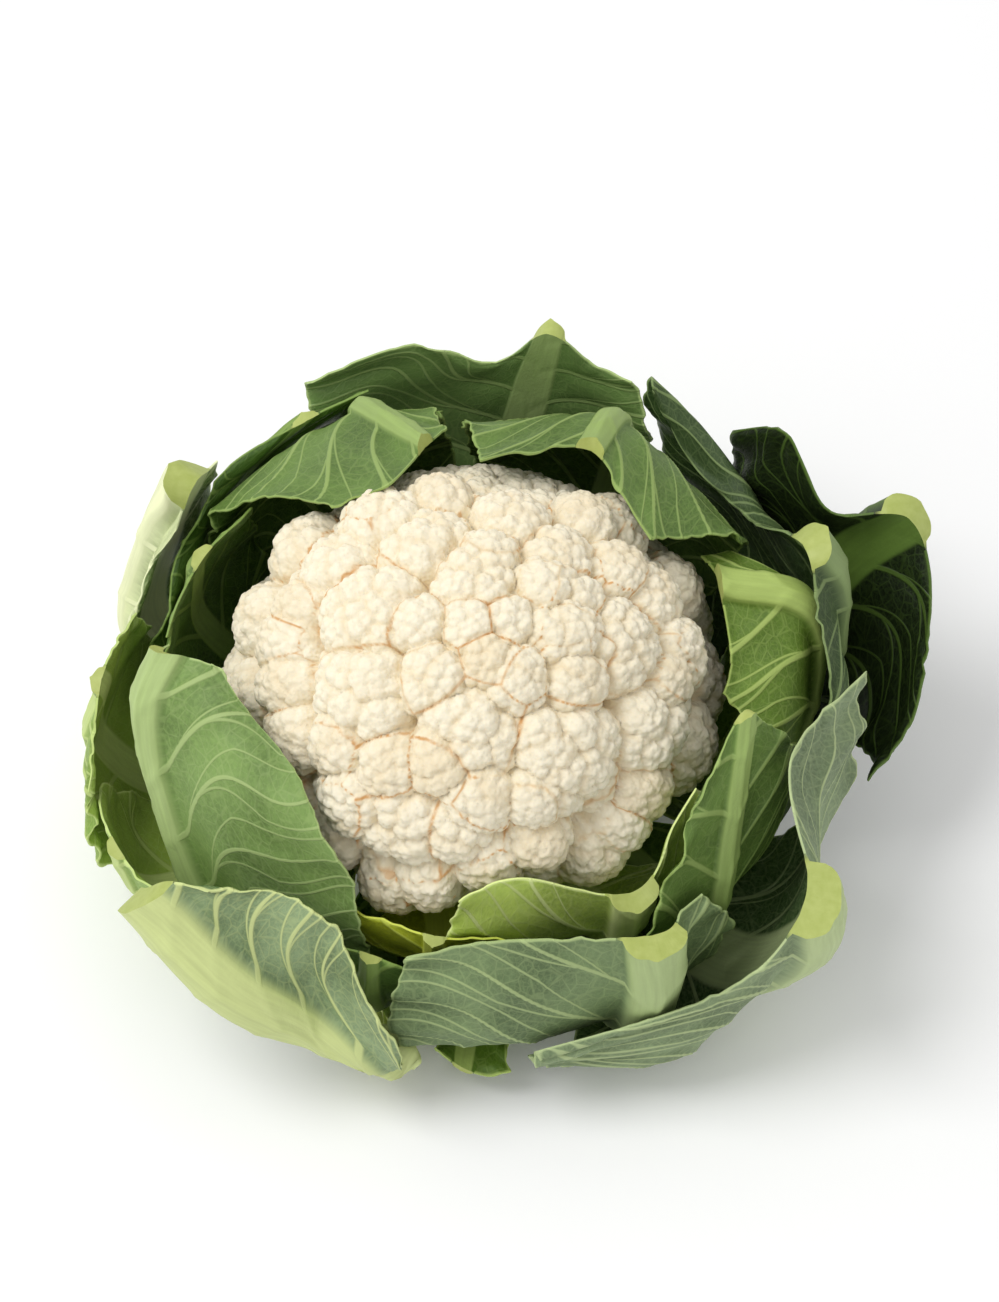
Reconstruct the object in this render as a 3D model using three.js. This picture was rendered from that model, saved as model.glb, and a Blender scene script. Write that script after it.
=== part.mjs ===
// Cauliflower head with its trimmed wrapper leaves, millimetres, +Z up.
// The origin is the middle of the stump's flat cut face, on which the head rests.
// The photo's viewer stands at -Y, so +Y is the back of the head and +X its right.
import * as THREE from 'three';

// Driving dimensions of the curd
const CURD_RADIUS = 65;
const CURD_HEIGHT_RADIUS = 56.5;
const CURD_CENTRE = new THREE.Vector3(3, -3, 62);
const CURD_RIM_TILT = 104;
const CURD_FOOT_RADIUS = 17;
const CURD_FOOT_Z = 33;
const FLORET_RISE = 6.5;
const RIM_FLORET_TILT = 90;
const RIM_FLORET_RADIUS = 13;
const RIM_STEP = 20;
const RIM_FIRST = -20;
const RIM_LAST = 220;
const CURD_FOOT_TILT = 166;
const CURD_DETAIL = 14;

// Driving dimensions of the stem
const STEM_RADIUS = 23;
const STEM_TOP_Z = 32.6;
const STEM_SIDES = 32;

// The stem's side from its cut foot up: how far it is drawn in, and the height
const STEM_SIDE = [[1.5, 0], [0.4, 1.2], [0.6, 8], [1.2, 18], [2.5, 27]];

// Driving dimensions that all leaves share
const BLADE_THICKNESS = 0.9;
const LEAF_GAP = 0.5;
const PETIOLE_START_RADIUS = 24;
const PETIOLE_KNEE_RADIUS = 46;
const PETIOLE_HALF_WIDTH = 7;
const WAVE_HEIGHT = 1.6;
const PRESS_ROUNDS = 7;
const LEAF_ROWS = 10;
const RIB_SHARES = [0.55, 0.92];
const RIB_FOOT = 0.8;
const WIDEST_RIB = 0.9;

// Where a petiole turns up into the blade: the drop to its knee, then shares of the way to the first row
const KNEE_DROP = 2;
const TURN_SHARE = 0.62;
const TURN_RISE = 0.3;

// Control rows past which the margin starts to wave and waves in full, and the share where corners round off
const WAVE_START = 2.2;
const WAVE_FULL = 3.2;
const CORNER_START = 0.6;

// The point that the leaves close around, and the map of how far out they already reach in each direction
const HEART = new THREE.Vector3(0, 0, 55);
const MAP_STEP = 2;
const MAP_COLUMNS = 360 / MAP_STEP;
const MAP_ROWS = 180 / MAP_STEP;

// Steps of the lattice on which a leaf is eased outward: across the whole blade, and for each control row
const PRESS_ACROSS = 32;
const PRESS_ALONG = 10;

// Florets: azimuth and tilt from upright in degrees, radius across in mm. Leaves hide the last row.
const FLORETS = [
  [199, 32, 15.5], [228, 48, 15.5], [252, 35, 11.5], [270, 47, 15.5], [231, 24, 10.5], [288, 6, 14],
  [269, 19, 9.5], [298, 20, 9], [279, 29, 10], [292, 35, 8], [313, 42, 11], [324, 30, 7.5], [346, 29, 10],
  [14, 25, 12], [58, 21, 13], [340, 18, 6.5], [40, 6, 8], [147, 16, 13], [110, 30, 10], [169, 41, 13],
  [182, 51, 9], [190, 58, 10], [202, 63, 11], [214, 69, 11], [229, 61, 9], [245, 60, 11],
  [260, 56, 10.5], [252, 74, 15], [266, 73, 12], [273, 63, 9], [238, 73, 9], [250, 98, 9], [259, 92, 8],
  [298, 59, 16.5], [286, 65, 8], [286, 79, 10], [302, 92, 11.5], [274, 83, 9], [309, 84, 8], [328, 69, 14],
  [341, 63, 8.5], [317, 80, 10.5], [340, 47, 14], [10, 43, 9.5], [4, 54, 12], [39, 42, 10], [38, 56, 9],
  [352, 65, 8], [138, 34, 8], [328, 41, 6],
  [150, 64, 12], [172, 72, 12], [192, 80, 12], [232, 90, 11], [20, 74, 11],
];

// Leaves from the heart outward. Points are azimuth in degrees, radius and height in mm, on the inner face.
// A row runs across the blade through the midrib, and the rows run from the petiole to the trimmed end.
// base is the petiole's azimuth and height, round how far each end corner is taken off, and rib the midrib's
// half width and thickness: half width at the stem and at the end, then thickness at the stem and at the end.
const LEAVES = [
  {
    name: 'leaf_left_inner', base: [150, 27], gap: LEAF_GAP,
    round: [0.2, 0.2], rib: [6, 4, 5, 3], wave: 5, color: 0x2f4a16,
    rows: [
      [[138, 80, 50], [149, 80, 52], [161, 80, 53], [172, 81, 52], [184, 82, 50]],
      [[141, 78, 72], [151, 78, 74], [162, 79, 75], [173, 81, 72], [184, 83, 66]],
      [[143, 73, 86], [152, 71, 91], [163, 76, 88], [173, 80, 82], [182, 84, 76]],
    ],
  },
  {
    name: 'leaf_front_inner', base: [300, 27], gap: LEAF_GAP,
    round: [0.12, 0.1], rib: [7, 7, 6, 6], wave: 5, color: 0x7f9c3c,
    rows: [
      [[269, 76, 44], [284, 78, 42], [303, 80, 40], [315, 81, 46], [325, 83, 50]],
      [[266, 79, 54], [282, 80, 56], [303, 83, 51], [315, 82, 62], [326, 83, 66]],
      [[265, 78, 65], [281, 77, 76], [303, 85, 62], [314, 83, 78], [321, 84, 91]],
    ],
  },
  {
    name: 'leaf_front_left_inner', base: [262, 27], gap: LEAF_GAP,
    round: [0.2, 0.2], rib: [6, 3, 5, 3], wave: 5, color: 0x5d6f1c,
    rows: [
      [[246, 70, 26], [255, 71, 25], [265, 72, 24], [276, 72, 25], [286, 71, 27]],
      [[243, 77, 42], [254, 78, 42], [265, 78, 42], [276, 78, 42], [286, 77, 42]],
      [[243, 79, 56], [254, 80, 58], [265, 80, 58], [276, 79, 56], [286, 78, 52]],
    ],
  },
  {
    name: 'leaf_right_inner', base: [350, 27], gap: LEAF_GAP,
    round: [0.2, 0.1], rib: [7, 5, 6, 5], wave: 6, color: 0x6d9040,
    rows: [
      [[332, 83, 52], [343, 92, 50], [356, 94, 50], [8, 90, 54], [18, 86, 56]],
      [[336, 79, 68], [345, 92, 74], [4, 95, 85], [12, 89, 84], [20, 83, 78]],
      [[340, 74, 78], [352, 75, 83], [9, 72, 90], [14, 72, 89], [20, 72, 86]],
    ],
  },
  {
    name: 'leaf_over_top_right', base: [62, 27], gap: LEAF_GAP,
    round: [0.15, 0.15], rib: [6, 4, 5, 4], wave: 6, color: 0x55783a,
    rows: [
      [[28, 82, 50], [44, 82, 50], [60, 83, 50], [74, 82, 52], [88, 81, 54]],
      [[24, 83, 74], [42, 83, 78], [57, 82, 81], [72, 79, 80], [90, 75, 80]],
      [[15, 76, 93], [36, 75, 97], [55, 73, 102], [71, 62, 104], [91, 53, 107]],
      [[8, 54, 108], [28, 51, 110], [49, 54, 113], [68, 40, 115], [90, 29, 117]],
    ],
  },
  {
    name: 'leaf_over_top_left', base: [112, 27], gap: LEAF_GAP,
    round: [0.1, 0.25], rib: [6, 4, 5, 4], wave: 7, color: 0x6a8d42,
    rows: [
      [[92, 81, 52], [102, 82, 52], [113, 82, 52], [130, 82, 52], [148, 82, 50]],
      [[94, 79, 76], [102, 80, 78], [111, 81, 80], [128, 82, 78], [149, 84, 71]],
      [[96, 67, 96], [103, 68, 97], [112, 72, 97], [128, 73, 94], [152, 77, 84]],
      [[94, 52, 108], [99, 47, 111], [104, 43, 113], [131, 32, 117], [152, 55, 105]],
    ],
  },
  {
    name: 'leaf_left_folded', base: [222, 27], gap: LEAF_GAP,
    round: [0, 0.1], rib: [8, 6, 6, 5], wave: 6, color: 0x6f9150,
    rows: [
      [[209, 86, 36], [213, 88, 34], [217, 89, 32], [233, 86, 31], [252, 82, 30]],
      [[199, 87, 64], [202, 89, 64], [206, 90, 63], [225, 87, 66], [250, 81, 60]],
      [[193, 86, 86], [195, 88, 86], [198, 89, 86], [216, 78, 92], [240, 73, 86]],
      [[188, 82, 93], [190, 83, 95], [192, 81, 97], [196, 74, 99], [201, 67, 99]],
    ],
  },
  {
    name: 'leaf_front_left_mid', base: [244, 22], gap: LEAF_GAP,
    round: [0.2, 0.2], rib: [6, 3, 5, 3], wave: 6, color: 0x3f5f20,
    rows: [
      [[240, 79, 25], [247, 80, 24], [254, 80, 24], [261, 80, 25], [268, 79, 26]],
      [[240, 88, 37], [247, 89, 36], [254, 90, 36], [261, 90, 36], [267, 89, 36]],
      [[241, 88, 50], [247, 89, 53], [254, 89, 53], [260, 89, 50], [266, 88, 46]],
    ],
  },
  {
    name: 'leaf_front_right_inner', base: [325, 26], gap: LEAF_GAP,
    round: [0.1, 0.2], rib: [6, 4, 5, 3], wave: 6, color: 0x4d7033,
    rows: [
      [[300, 92, 46], [308, 94, 45], [316, 95, 45], [328, 96, 47], [340, 96, 50]],
      [[308, 92, 72], [315, 91, 76], [322, 92, 78], [331, 97, 80], [340, 99, 76]],
      [[315, 86, 88], [323, 85, 98], [331, 86, 106], [334, 90, 98], [338, 96, 86]],
    ],
  },
  {
    name: 'leaf_back_left', base: [168, 20], gap: LEAF_GAP,
    round: [0.15, 0.3], rib: [7, 4, 5, 3], wave: 6, color: 0x2c4a1a,
    rows: [
      [[134, 85, 48], [144, 86, 49], [155, 86, 50], [165, 86, 50], [174, 87, 48]],
      [[115, 85, 70], [126, 86, 73], [140, 87, 73], [153, 86, 71], [166, 88, 66]],
      [[107, 80, 89], [114, 81, 90], [123, 83, 90], [138, 86, 86], [152, 88, 80]],
    ],
  },
  {
    name: 'leaf_back', base: [82, 20], gap: LEAF_GAP,
    round: [0.1, 0.05], rib: [8, 6, 6, 5], wave: 6, color: 0x36541f,
    rows: [
      [[58, 91, 48], [65, 92, 47], [73, 92, 46], [81, 92, 45], [90, 92, 46], [99, 92, 47], [108, 92, 50]],
      [[54, 93, 76], [61, 94, 75], [69, 94, 75], [78, 94, 76], [90, 95, 73], [103, 95, 74], [118, 94, 74]],
      [[57, 94, 97], [62, 94, 95], [67, 93, 97], [75, 91, 107], [85, 94, 87], [100, 95, 95], [121, 98, 88]],
    ],
  },
  {
    name: 'leaf_right_mid', base: [8, 20], gap: LEAF_GAP,
    round: [0.1, 0.12], rib: [8, 8, 7, 8], wave: 6, color: 0x5d7d50,
    rows: [
      [[347, 105, 40], [354, 104, 44], [2, 102, 47], [9, 101, 48], [20, 101, 47], [33, 99, 48], [49, 96, 50]],
      [[346, 109, 51], [354, 107, 61], [2, 105, 68], [9, 103, 70], [22, 101, 62], [38, 99, 65], [55, 97, 75]],
      [[345, 109, 60], [354, 106, 74], [3, 103, 84], [9, 101, 90], [28, 99, 74], [46, 98, 80], [60, 98, 92]],
      [[344, 104, 66], [352, 102, 80], [1, 98, 93], [9, 95, 104], [27, 93, 78], [47, 91, 73], [60, 97, 99]],
    ],
  },
  {
    name: 'leaf_front_outer', base: [294, 20], gap: LEAF_GAP,
    round: [0.04, 0.1], rib: [9, 8, 8, 8], wave: 7, color: 0x6c8658,
    rows: [
      [[260, 98, 26], [279, 99, 26], [299, 98, 25], [308, 98, 28], [314, 98, 30]],
      [[258, 97, 42], [277, 98, 45], [300, 103, 47], [309, 101, 48], [316, 98, 50]],
      [[259, 90, 58], [276, 89, 66], [300, 102, 68], [307, 99, 66], [313, 95, 64]],
    ],
  },
  {
    name: 'leaf_front_right_outer', base: [312, 20], gap: LEAF_GAP,
    round: [0.05, 0], rib: [10, 10, 9, 10], wave: 7, color: 0x70886a,
    rows: [
      [[284, 101, 18], [302, 110, 19], [318, 106, 24], [329, 104, 30], [342, 103, 34]],
      [[281, 103, 22], [304, 118, 31], [320, 119, 44], [331, 111, 55], [343, 106, 58]],
      [[280, 104, 25], [305, 117, 42], [320, 123, 60], [333, 108, 75], [346, 109, 77]],
      [[279, 104, 27], [306, 115, 49], [319, 122, 73], [331, 100, 92], [350, 111, 92]],
    ],
  },
  {
    name: 'leaf_right_outer', base: [20, 13], gap: LEAF_GAP,
    round: [0, 0.08], rib: [9, 8, 8, 8], wave: 6, color: 0x20350f,
    rows: [
      [[357, 103, 32], [3, 105, 34], [11, 106, 38], [20, 105, 43], [28, 104, 44], [35, 102, 46], [42, 100, 47]],
      [[357, 114, 36], [2, 121, 44], [8, 123, 58], [18, 118, 72], [25, 109, 72], [33, 104, 76], [42, 101, 62]],
      [[348, 118, 46], [357, 129, 56], [8, 133, 77], [15, 130, 91], [20, 110, 90], [31, 105, 104], [44, 103, 82]],
    ],
  },
  {
    name: 'leaf_left_low', base: [200, 13], gap: LEAF_GAP,
    round: [0.2, 0.2], rib: [6, 4, 5, 3], wave: 6, color: 0x53772c,
    rows: [
      [[190, 96, 28], [198, 99, 27], [208, 101, 26], [218, 101, 27], [228, 97, 29]],
      [[192, 103, 46], [199, 107, 51], [208, 108, 52], [218, 106, 52], [230, 99, 50]],
    ],
  },
  {
    name: 'leaf_left_outer', base: [182, 13], gap: LEAF_GAP,
    round: [0.2, 0.15], rib: [7, 4, 5, 3], wave: 7, color: 0x3a5c22,
    rows: [
      [[165, 92, 42], [174, 95, 42], [184, 98, 42], [194, 101, 38], [202, 102, 30]],
      [[168, 92, 62], [176, 96, 66], [185, 100, 66], [194, 103, 58], [201, 106, 44]],
      [[169, 91, 73], [177, 95, 77], [186, 101, 75], [193, 104, 68], [200, 108, 52]],
    ],
  },
  {
    name: 'leaf_front_low', base: [272, 18], gap: LEAF_GAP,
    round: [0.05, 0.1], rib: [4, 3, 3, 2], wave: 5, color: 0x6a8f3a,
    rows: [
      [[266, 82, 14], [268, 82, 13], [271, 83, 13], [274, 83, 13], [278, 84, 14]],
      [[265, 93, 16], [267, 95, 14], [270, 98, 12], [274, 101, 12], [278, 102, 15]],
    ],
  },
  {
    name: 'leaf_front_left_outer', base: [246, 20], gap: 2.4,
    round: [0, 0.15], rib: [9, 10, 3, 10], wave: 5, color: 0xa9bd72,
    rows: [
      [[262, 90, 20], [260, 89, 22], [258, 88, 24], [259, 90, 31], [261, 91, 40]],
      [[250, 98, 18], [249, 99, 22], [247, 100, 28], [248, 94, 45], [252, 88, 61]],
      [[236, 107, 34], [236, 109, 39], [236, 109, 46], [238, 100, 62], [243, 89, 73]],
      [[218, 110, 59], [219, 112, 63], [221, 112, 68], [224, 108, 74], [231, 100, 75]],
    ],
  },
  {
    name: 'leaf_upper_left_outer', base: [140, 13], gap: LEAF_GAP,
    round: [0.2, 0.25], rib: [10, 9, 9, 9], wave: 5, color: 0xb3c48a,
    rows: [
      [[148, 93, 42], [154, 94, 43], [161, 95, 43], [169, 94, 42], [176, 94, 40]],
      [[140, 89, 70], [147, 90, 72], [155, 91, 74], [161, 91, 71], [168, 91, 64]],
      [[138, 88, 83], [143, 88, 86], [148, 88, 91], [153, 89, 86], [158, 90, 80]],
    ],
  },
];

const radians = THREE.MathUtils.degToRad;

function polar(azimuth, radius, z) {
  return new THREE.Vector3(radius * Math.cos(radians(azimuth)), radius * Math.sin(radians(azimuth)), z);
}

// Splines through the control points

function splineWeights(t) {
  return [
    (-t + 2 * t * t - t * t * t) / 2,
    (2 - 5 * t * t + 3 * t * t * t) / 2,
    (t + 4 * t * t - 3 * t * t * t) / 2,
    (-t * t + t * t * t) / 2,
  ];
}

function alongSpline(points, parameter) {
  const last = points.length - 1;
  const first = Math.min(Math.floor(parameter), last - 1);
  const weights = splineWeights(parameter - first);
  const before = first > 0 ? points[first - 1] : points[0].clone().multiplyScalar(2).sub(points[1]);
  const after = first + 2 <= last
    ? points[first + 2]
    : points[last].clone().multiplyScalar(2).sub(points[last - 1]);
  return new THREE.Vector3()
    .addScaledVector(before, weights[0])
    .addScaledVector(points[first], weights[1])
    .addScaledVector(points[first + 1], weights[2])
    .addScaledVector(after, weights[3]);
}

function smoothStep(low, high, value) {
  const t = Math.min(Math.max((value - low) / (high - low), 0), 1);
  return t * t * (3 - 2 * t);
}

// Leaf surfaces

function petioleRow(leaf, radius, z) {
  const [azimuth] = leaf.base;
  const middle = polar(azimuth, radius, z);
  const across = polar(azimuth + 90, 1, 0);
  const half = (leaf.rows[0].length - 1) / 2;
  return leaf.rows[0].map((_, i) => {
    const share = i / half - 1;
    return middle.clone().addScaledVector(across, share * PETIOLE_HALF_WIDTH);
  });
}

function controlRows(leaf) {
  const rows = leaf.rows.map((row) => row.map((point) => polar(...point)));
  const z = leaf.base[1];
  const start = petioleRow(leaf, PETIOLE_START_RADIUS, z);
  const knee = petioleRow(leaf, PETIOLE_KNEE_RADIUS, z - KNEE_DROP);
  const turn = rows[0].map((point, column) => {
    const under = knee[column].clone().lerp(point, TURN_SHARE);
    under.z = Math.min(under.z, z - KNEE_DROP + TURN_RISE * (point.z - z));
    return under;
  });
  return [start, knee, turn, ...rows];
}

// A point of the inner face: u runs from -1 to 1 across the blade, v from 0 at the stem to 1 at its end
function leafPoint(leaf, u, v) {
  const rows = leaf.controls;
  const along = v * (rows.length - 1);
  const middle = (rows[0].length - 1) / 2;
  const crossing = rows.map((row) => alongSpline(row, middle * (1 + u)));
  const point = alongSpline(crossing, along);
  const free = smoothStep(WAVE_START, WAVE_FULL, along);
  const turns = 2 * Math.PI * leaf.wave * v + (u < 0 ? leaf.phase : 2.1 * leaf.phase);
  const wave = WAVE_HEIGHT * Math.pow(Math.abs(u), 3) * free * Math.sin(turns);
  const outward = point.clone().sub(HEART).normalize();
  return point.addScaledVector(outward, wave);
}

// An even lattice of points over the inner face, with each point's distance from the midrib along the surface
function leafLattice(leaf, acrossSteps, alongSteps) {
  const middle = acrossSteps / 2;
  const points = [];
  const distances = [];
  for (let j = 0; j <= alongSteps; j += 1) {
    const row = [];
    for (let i = 0; i <= acrossSteps; i += 1) {
      row.push(leafPoint(leaf, i / middle - 1, j / alongSteps));
    }
    const reach = row.map(() => 0);
    for (let i = 1; i <= middle; i += 1) {
      reach[middle + i] = reach[middle + i - 1] + row[middle + i].distanceTo(row[middle + i - 1]);
      reach[middle - i] = reach[middle - i + 1] + row[middle - i].distanceTo(row[middle - i + 1]);
    }
    points.push(row);
    distances.push(reach);
  }
  return { points, distances };
}

// Unit normals of a grid of points, toward the outer face
function gridNormals(grid) {
  return grid.map((row, j) => row.map((_, i) => {
    const above = grid[Math.min(j + 1, grid.length - 1)][i];
    const below = grid[Math.max(j - 1, 0)][i];
    const across = row[Math.min(i + 1, row.length - 1)].clone().sub(row[Math.max(i - 1, 0)]);
    return across.cross(above.clone().sub(below)).normalize();
  }));
}

function ribHalfWidth(leaf, v) {
  return THREE.MathUtils.lerp(leaf.rib[0], leaf.rib[1], v);
}

function thickness(leaf, distance, v) {
  const rib = THREE.MathUtils.lerp(leaf.rib[2], leaf.rib[3], v);
  const reach = Math.min(distance / ribHalfWidth(leaf, v), 1);
  const swell = Math.sqrt(1 - reach * reach);
  return BLADE_THICKNESS + (rib - BLADE_THICKNESS) * swell;
}

// Room between leaves: each one is eased outward until it clears everything laid before it

// The map's row and column of a direction, with their fractions
function mapCell(direction) {
  const azimuth = THREE.MathUtils.radToDeg(Math.atan2(direction.y, direction.x));
  const tilt = THREE.MathUtils.radToDeg(Math.acos(THREE.MathUtils.clamp(direction.z, -1, 1)));
  const column = ((azimuth + 360) / MAP_STEP) % MAP_COLUMNS;
  return [Math.min(tilt / MAP_STEP, MAP_ROWS - 0.01), column];
}

function reachAround(map, direction) {
  const [row, column] = mapCell(direction);
  const nextRow = Math.min(Math.max(row + (row % 1 < 0.5 ? -1 : 1), 0), MAP_ROWS - 1);
  const nextColumn = column + (column % 1 < 0.5 ? -1 : 1) + MAP_COLUMNS;
  const rows = [Math.floor(row), Math.floor(nextRow)];
  const columns = [Math.floor(column), Math.floor(nextColumn) % MAP_COLUMNS];
  return Math.max(...rows.flatMap((i) => columns.map((j) => map[i][j])));
}

function raiseMap(map, point) {
  const offset = point.clone().sub(HEART);
  const distance = offset.length();
  const [row, column] = mapCell(offset.divideScalar(distance)).map(Math.floor);
  map[row][column] = Math.max(map[row][column], distance);
}

function layLeaf(leaf, map) {
  const acrossSteps = PRESS_ACROSS;
  const alongSteps = PRESS_ALONG * (leaf.controls.length - 1);
  const gaps = leaf.controls[0].length - 1;
  for (let round = 0; round < PRESS_ROUNDS; round += 1) {
    const push = leaf.controls.map((row) => row.map(() => 0));
    for (let j = 0; j <= alongSteps; j += 1) {
      for (let i = 0; i <= acrossSteps; i += 1) {
        const offset = leafPoint(leaf, (2 * i) / acrossSteps - 1, j / alongSteps).sub(HEART);
        const distance = offset.length();
        const short = reachAround(map, offset.divideScalar(distance)) + leaf.gap - distance;
        const row = Math.round(j / PRESS_ALONG);
        const column = Math.round((i * gaps) / acrossSteps);
        push[row][column] = Math.max(push[row][column], short);
      }
    }
    leaf.controls.forEach((row, r) => row.forEach((point, c) => {
      const outward = point.clone().sub(HEART).normalize();
      point.addScaledVector(outward, push[r][c]);
    }));
  }
  const lattice = leafLattice(leaf, 2 * acrossSteps, 2 * alongSteps);
  const normals = gridNormals(lattice.points);
  lattice.points.forEach((row, j) => row.forEach((point, i) => {
    const depth = thickness(leaf, lattice.distances[j][i], j / (2 * alongSteps));
    raiseMap(map, point.clone().addScaledVector(normals[j][i], depth));
  }));
}

// Where u must be for a point to lie a given distance from the midrib on one side
function columnPlace(distances, side, distance) {
  const middle = (distances.length - 1) / 2;
  let i = 1;
  while (i < middle && distances[middle + side * i] < distance) i += 1;
  const far = distances[middle + side * i];
  const near = distances[middle + side * (i - 1)];
  const share = Math.min((distance - near) / (far - near), 1);
  return (side * (i - 1 + share)) / middle;
}

// How much of its width a side of the blade keeps, with the corner at its end rounded off
function widthShare(leaf, side, v) {
  return 1 - leaf.round[side < 0 ? 0 : 1] * smoothStep(CORNER_START, 1, v) ** 2;
}

// The columns of a leaf's mesh: close together across the midrib, then even out to the margin
function rowPlaces(leaf, distances, v) {
  const rib = ribHalfWidth(leaf, v);
  const bladeSteps = leaf.rows[0].length - 2;
  const half = (side) => {
    const width = distances[side < 0 ? 0 : distances.length - 1] * widthShare(leaf, side, v);
    const edge = Math.min(rib, WIDEST_RIB * width);
    const foot = edge + RIB_FOOT;
    const steps = RIB_SHARES.map((share) => share * edge);
    for (let i = 0; i <= bladeSteps; i += 1) steps.push(foot + ((width - foot) * i) / bladeSteps);
    return steps.map((distance) => [columnPlace(distances, side, distance), distance]);
  };
  return [...half(-1).reverse(), [0, 0], ...half(1)];
}

function bodyFromSkins(inner, outer) {
  const rows = inner.length;
  const columns = inner[0].length;
  const positions = [];
  [inner, outer].forEach((skin) => skin.forEach((row) => row.forEach((p) => positions.push(p.x, p.y, p.z))));
  const at = (skin, row, column) => skin * rows * columns + row * columns + column;
  const faces = [];
  const quad = (a, b, c, d) => faces.push(a, b, c, a, c, d);
  for (let j = 0; j + 1 < rows; j += 1) {
    for (let i = 0; i + 1 < columns; i += 1) {
      quad(at(1, j, i), at(1, j, i + 1), at(1, j + 1, i + 1), at(1, j + 1, i));
      const [a, b, c, d] = [at(0, j, i), at(0, j, i + 1), at(0, j + 1, i + 1), at(0, j + 1, i)];
      faces.push(a, c, b, a, d, c);
    }
  }
  for (let j = 0; j + 1 < rows; j += 1) {
    quad(at(0, j, 0), at(1, j, 0), at(1, j + 1, 0), at(0, j + 1, 0));
    quad(at(1, j, columns - 1), at(0, j, columns - 1), at(0, j + 1, columns - 1), at(1, j + 1, columns - 1));
  }
  for (let i = 0; i + 1 < columns; i += 1) {
    quad(at(1, 0, i), at(0, 0, i), at(0, 0, i + 1), at(1, 0, i + 1));
    quad(at(0, rows - 1, i), at(1, rows - 1, i), at(1, rows - 1, i + 1), at(0, rows - 1, i + 1));
  }
  return meshGeometry(positions, faces);
}

function meshGeometry(positions, faces) {
  const geometry = new THREE.BufferGeometry();
  geometry.setAttribute('position', new THREE.Float32BufferAttribute(positions, 3));
  geometry.setIndex(faces);
  geometry.computeVertexNormals();
  return geometry;
}

function leafGeometry(leaf) {
  const lattice = leafLattice(leaf, 32, LEAF_ROWS);
  const inner = [];
  const depths = [];
  for (let j = 0; j <= LEAF_ROWS; j += 1) {
    const v = j / LEAF_ROWS;
    const places = rowPlaces(leaf, lattice.distances[j], v);
    inner.push(places.map(([u]) => leafPoint(leaf, u, v)));
    depths.push(places.map(([, distance]) => thickness(leaf, distance, v)));
  }
  const normals = gridNormals(inner);
  const lift = (point, j, i) => point.clone().addScaledVector(normals[j][i], depths[j][i]);
  const outer = inner.map((row, j) => row.map((point, i) => lift(point, j, i)));
  return bodyFromSkins(inner, outer);
}

// The curd: florets stand out of a dome, whose rim turns under to a foot on the stem

function floretSpheres() {
  const rim = [];
  for (let azimuth = RIM_FIRST; azimuth <= RIM_LAST; azimuth += RIM_STEP) {
    rim.push([azimuth, RIM_FLORET_TILT, RIM_FLORET_RADIUS]);
  }
  return [...FLORETS, ...rim].map(([azimuth, tilt, radius]) => {
    const ball = (radius ** 2 + FLORET_RISE ** 2) / (2 * FLORET_RISE);
    const outward = polar(azimuth, Math.sin(radians(tilt)), Math.cos(radians(tilt)));
    const depth = 1 / Math.hypot(Math.sin(radians(tilt)) / CURD_RADIUS, outward.z / CURD_HEIGHT_RADIUS);
    return { middle: outward.multiplyScalar(depth + FLORET_RISE - ball), radius: ball };
  });
}

const SPHERES = floretSpheres();

function domeRadius(direction) {
  const flat = Math.hypot(direction.x, direction.y);
  let reach = 1 / Math.hypot(flat / CURD_RADIUS, direction.z / CURD_HEIGHT_RADIUS);
  SPHERES.forEach(({ middle, radius }) => {
    const nearest = direction.dot(middle);
    const square = radius * radius - middle.lengthSq() + nearest * nearest;
    if (nearest > 0 && square > 0) reach = Math.max(reach, nearest + Math.sqrt(square));
  });
  return reach;
}

// A point of the curd in a direction from its middle: florets down to the rim, then a cone in to the foot
function curdPoint(azimuth, tilt) {
  const dome = radians(Math.min(tilt, CURD_RIM_TILT));
  const direction = polar(azimuth, Math.sin(dome), Math.cos(dome));
  const point = direction.multiplyScalar(domeRadius(direction));
  point.add(CURD_CENTRE);
  const inward = THREE.MathUtils.clamp((tilt - CURD_RIM_TILT) / (CURD_FOOT_TILT - CURD_RIM_TILT), 0, 1);
  const foot = CURD_FOOT_RADIUS * Math.min((180 - tilt) / (180 - CURD_FOOT_TILT), 1);
  return point.lerp(polar(azimuth, foot, CURD_FOOT_Z), inward);
}

function curdGeometry() {
  const geometry = new THREE.IcosahedronGeometry(1, CURD_DETAIL);
  const position = geometry.getAttribute('position');
  for (let i = 0; i < position.count; i += 1) {
    const direction = new THREE.Vector3().fromBufferAttribute(position, i).normalize();
    const azimuth = THREE.MathUtils.radToDeg(Math.atan2(direction.y, direction.x));
    const tilt = THREE.MathUtils.radToDeg(Math.acos(direction.z));
    position.setXYZ(i, ...curdPoint(azimuth, tilt));
  }
  return geometry;
}

function stemGeometry() {
  const side = STEM_SIDE.map(([inset, z]) => [STEM_RADIUS - inset, z]);
  const profile = [[0, 0], ...side, [CURD_FOOT_RADIUS, STEM_TOP_Z], [0, STEM_TOP_Z]];
  const geometry = new THREE.LatheGeometry(profile.map(([r, z]) => new THREE.Vector2(r, z)), STEM_SIDES);
  return geometry.rotateX(Math.PI / 2);
}

function material(color, roughness) {
  return new THREE.MeshStandardMaterial({ color, roughness, metalness: 0, side: THREE.DoubleSide });
}

function addPiece(group, name, geometry, finish) {
  const mesh = new THREE.Mesh(geometry, finish);
  mesh.name = name;
  group.add(mesh);
}

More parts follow.
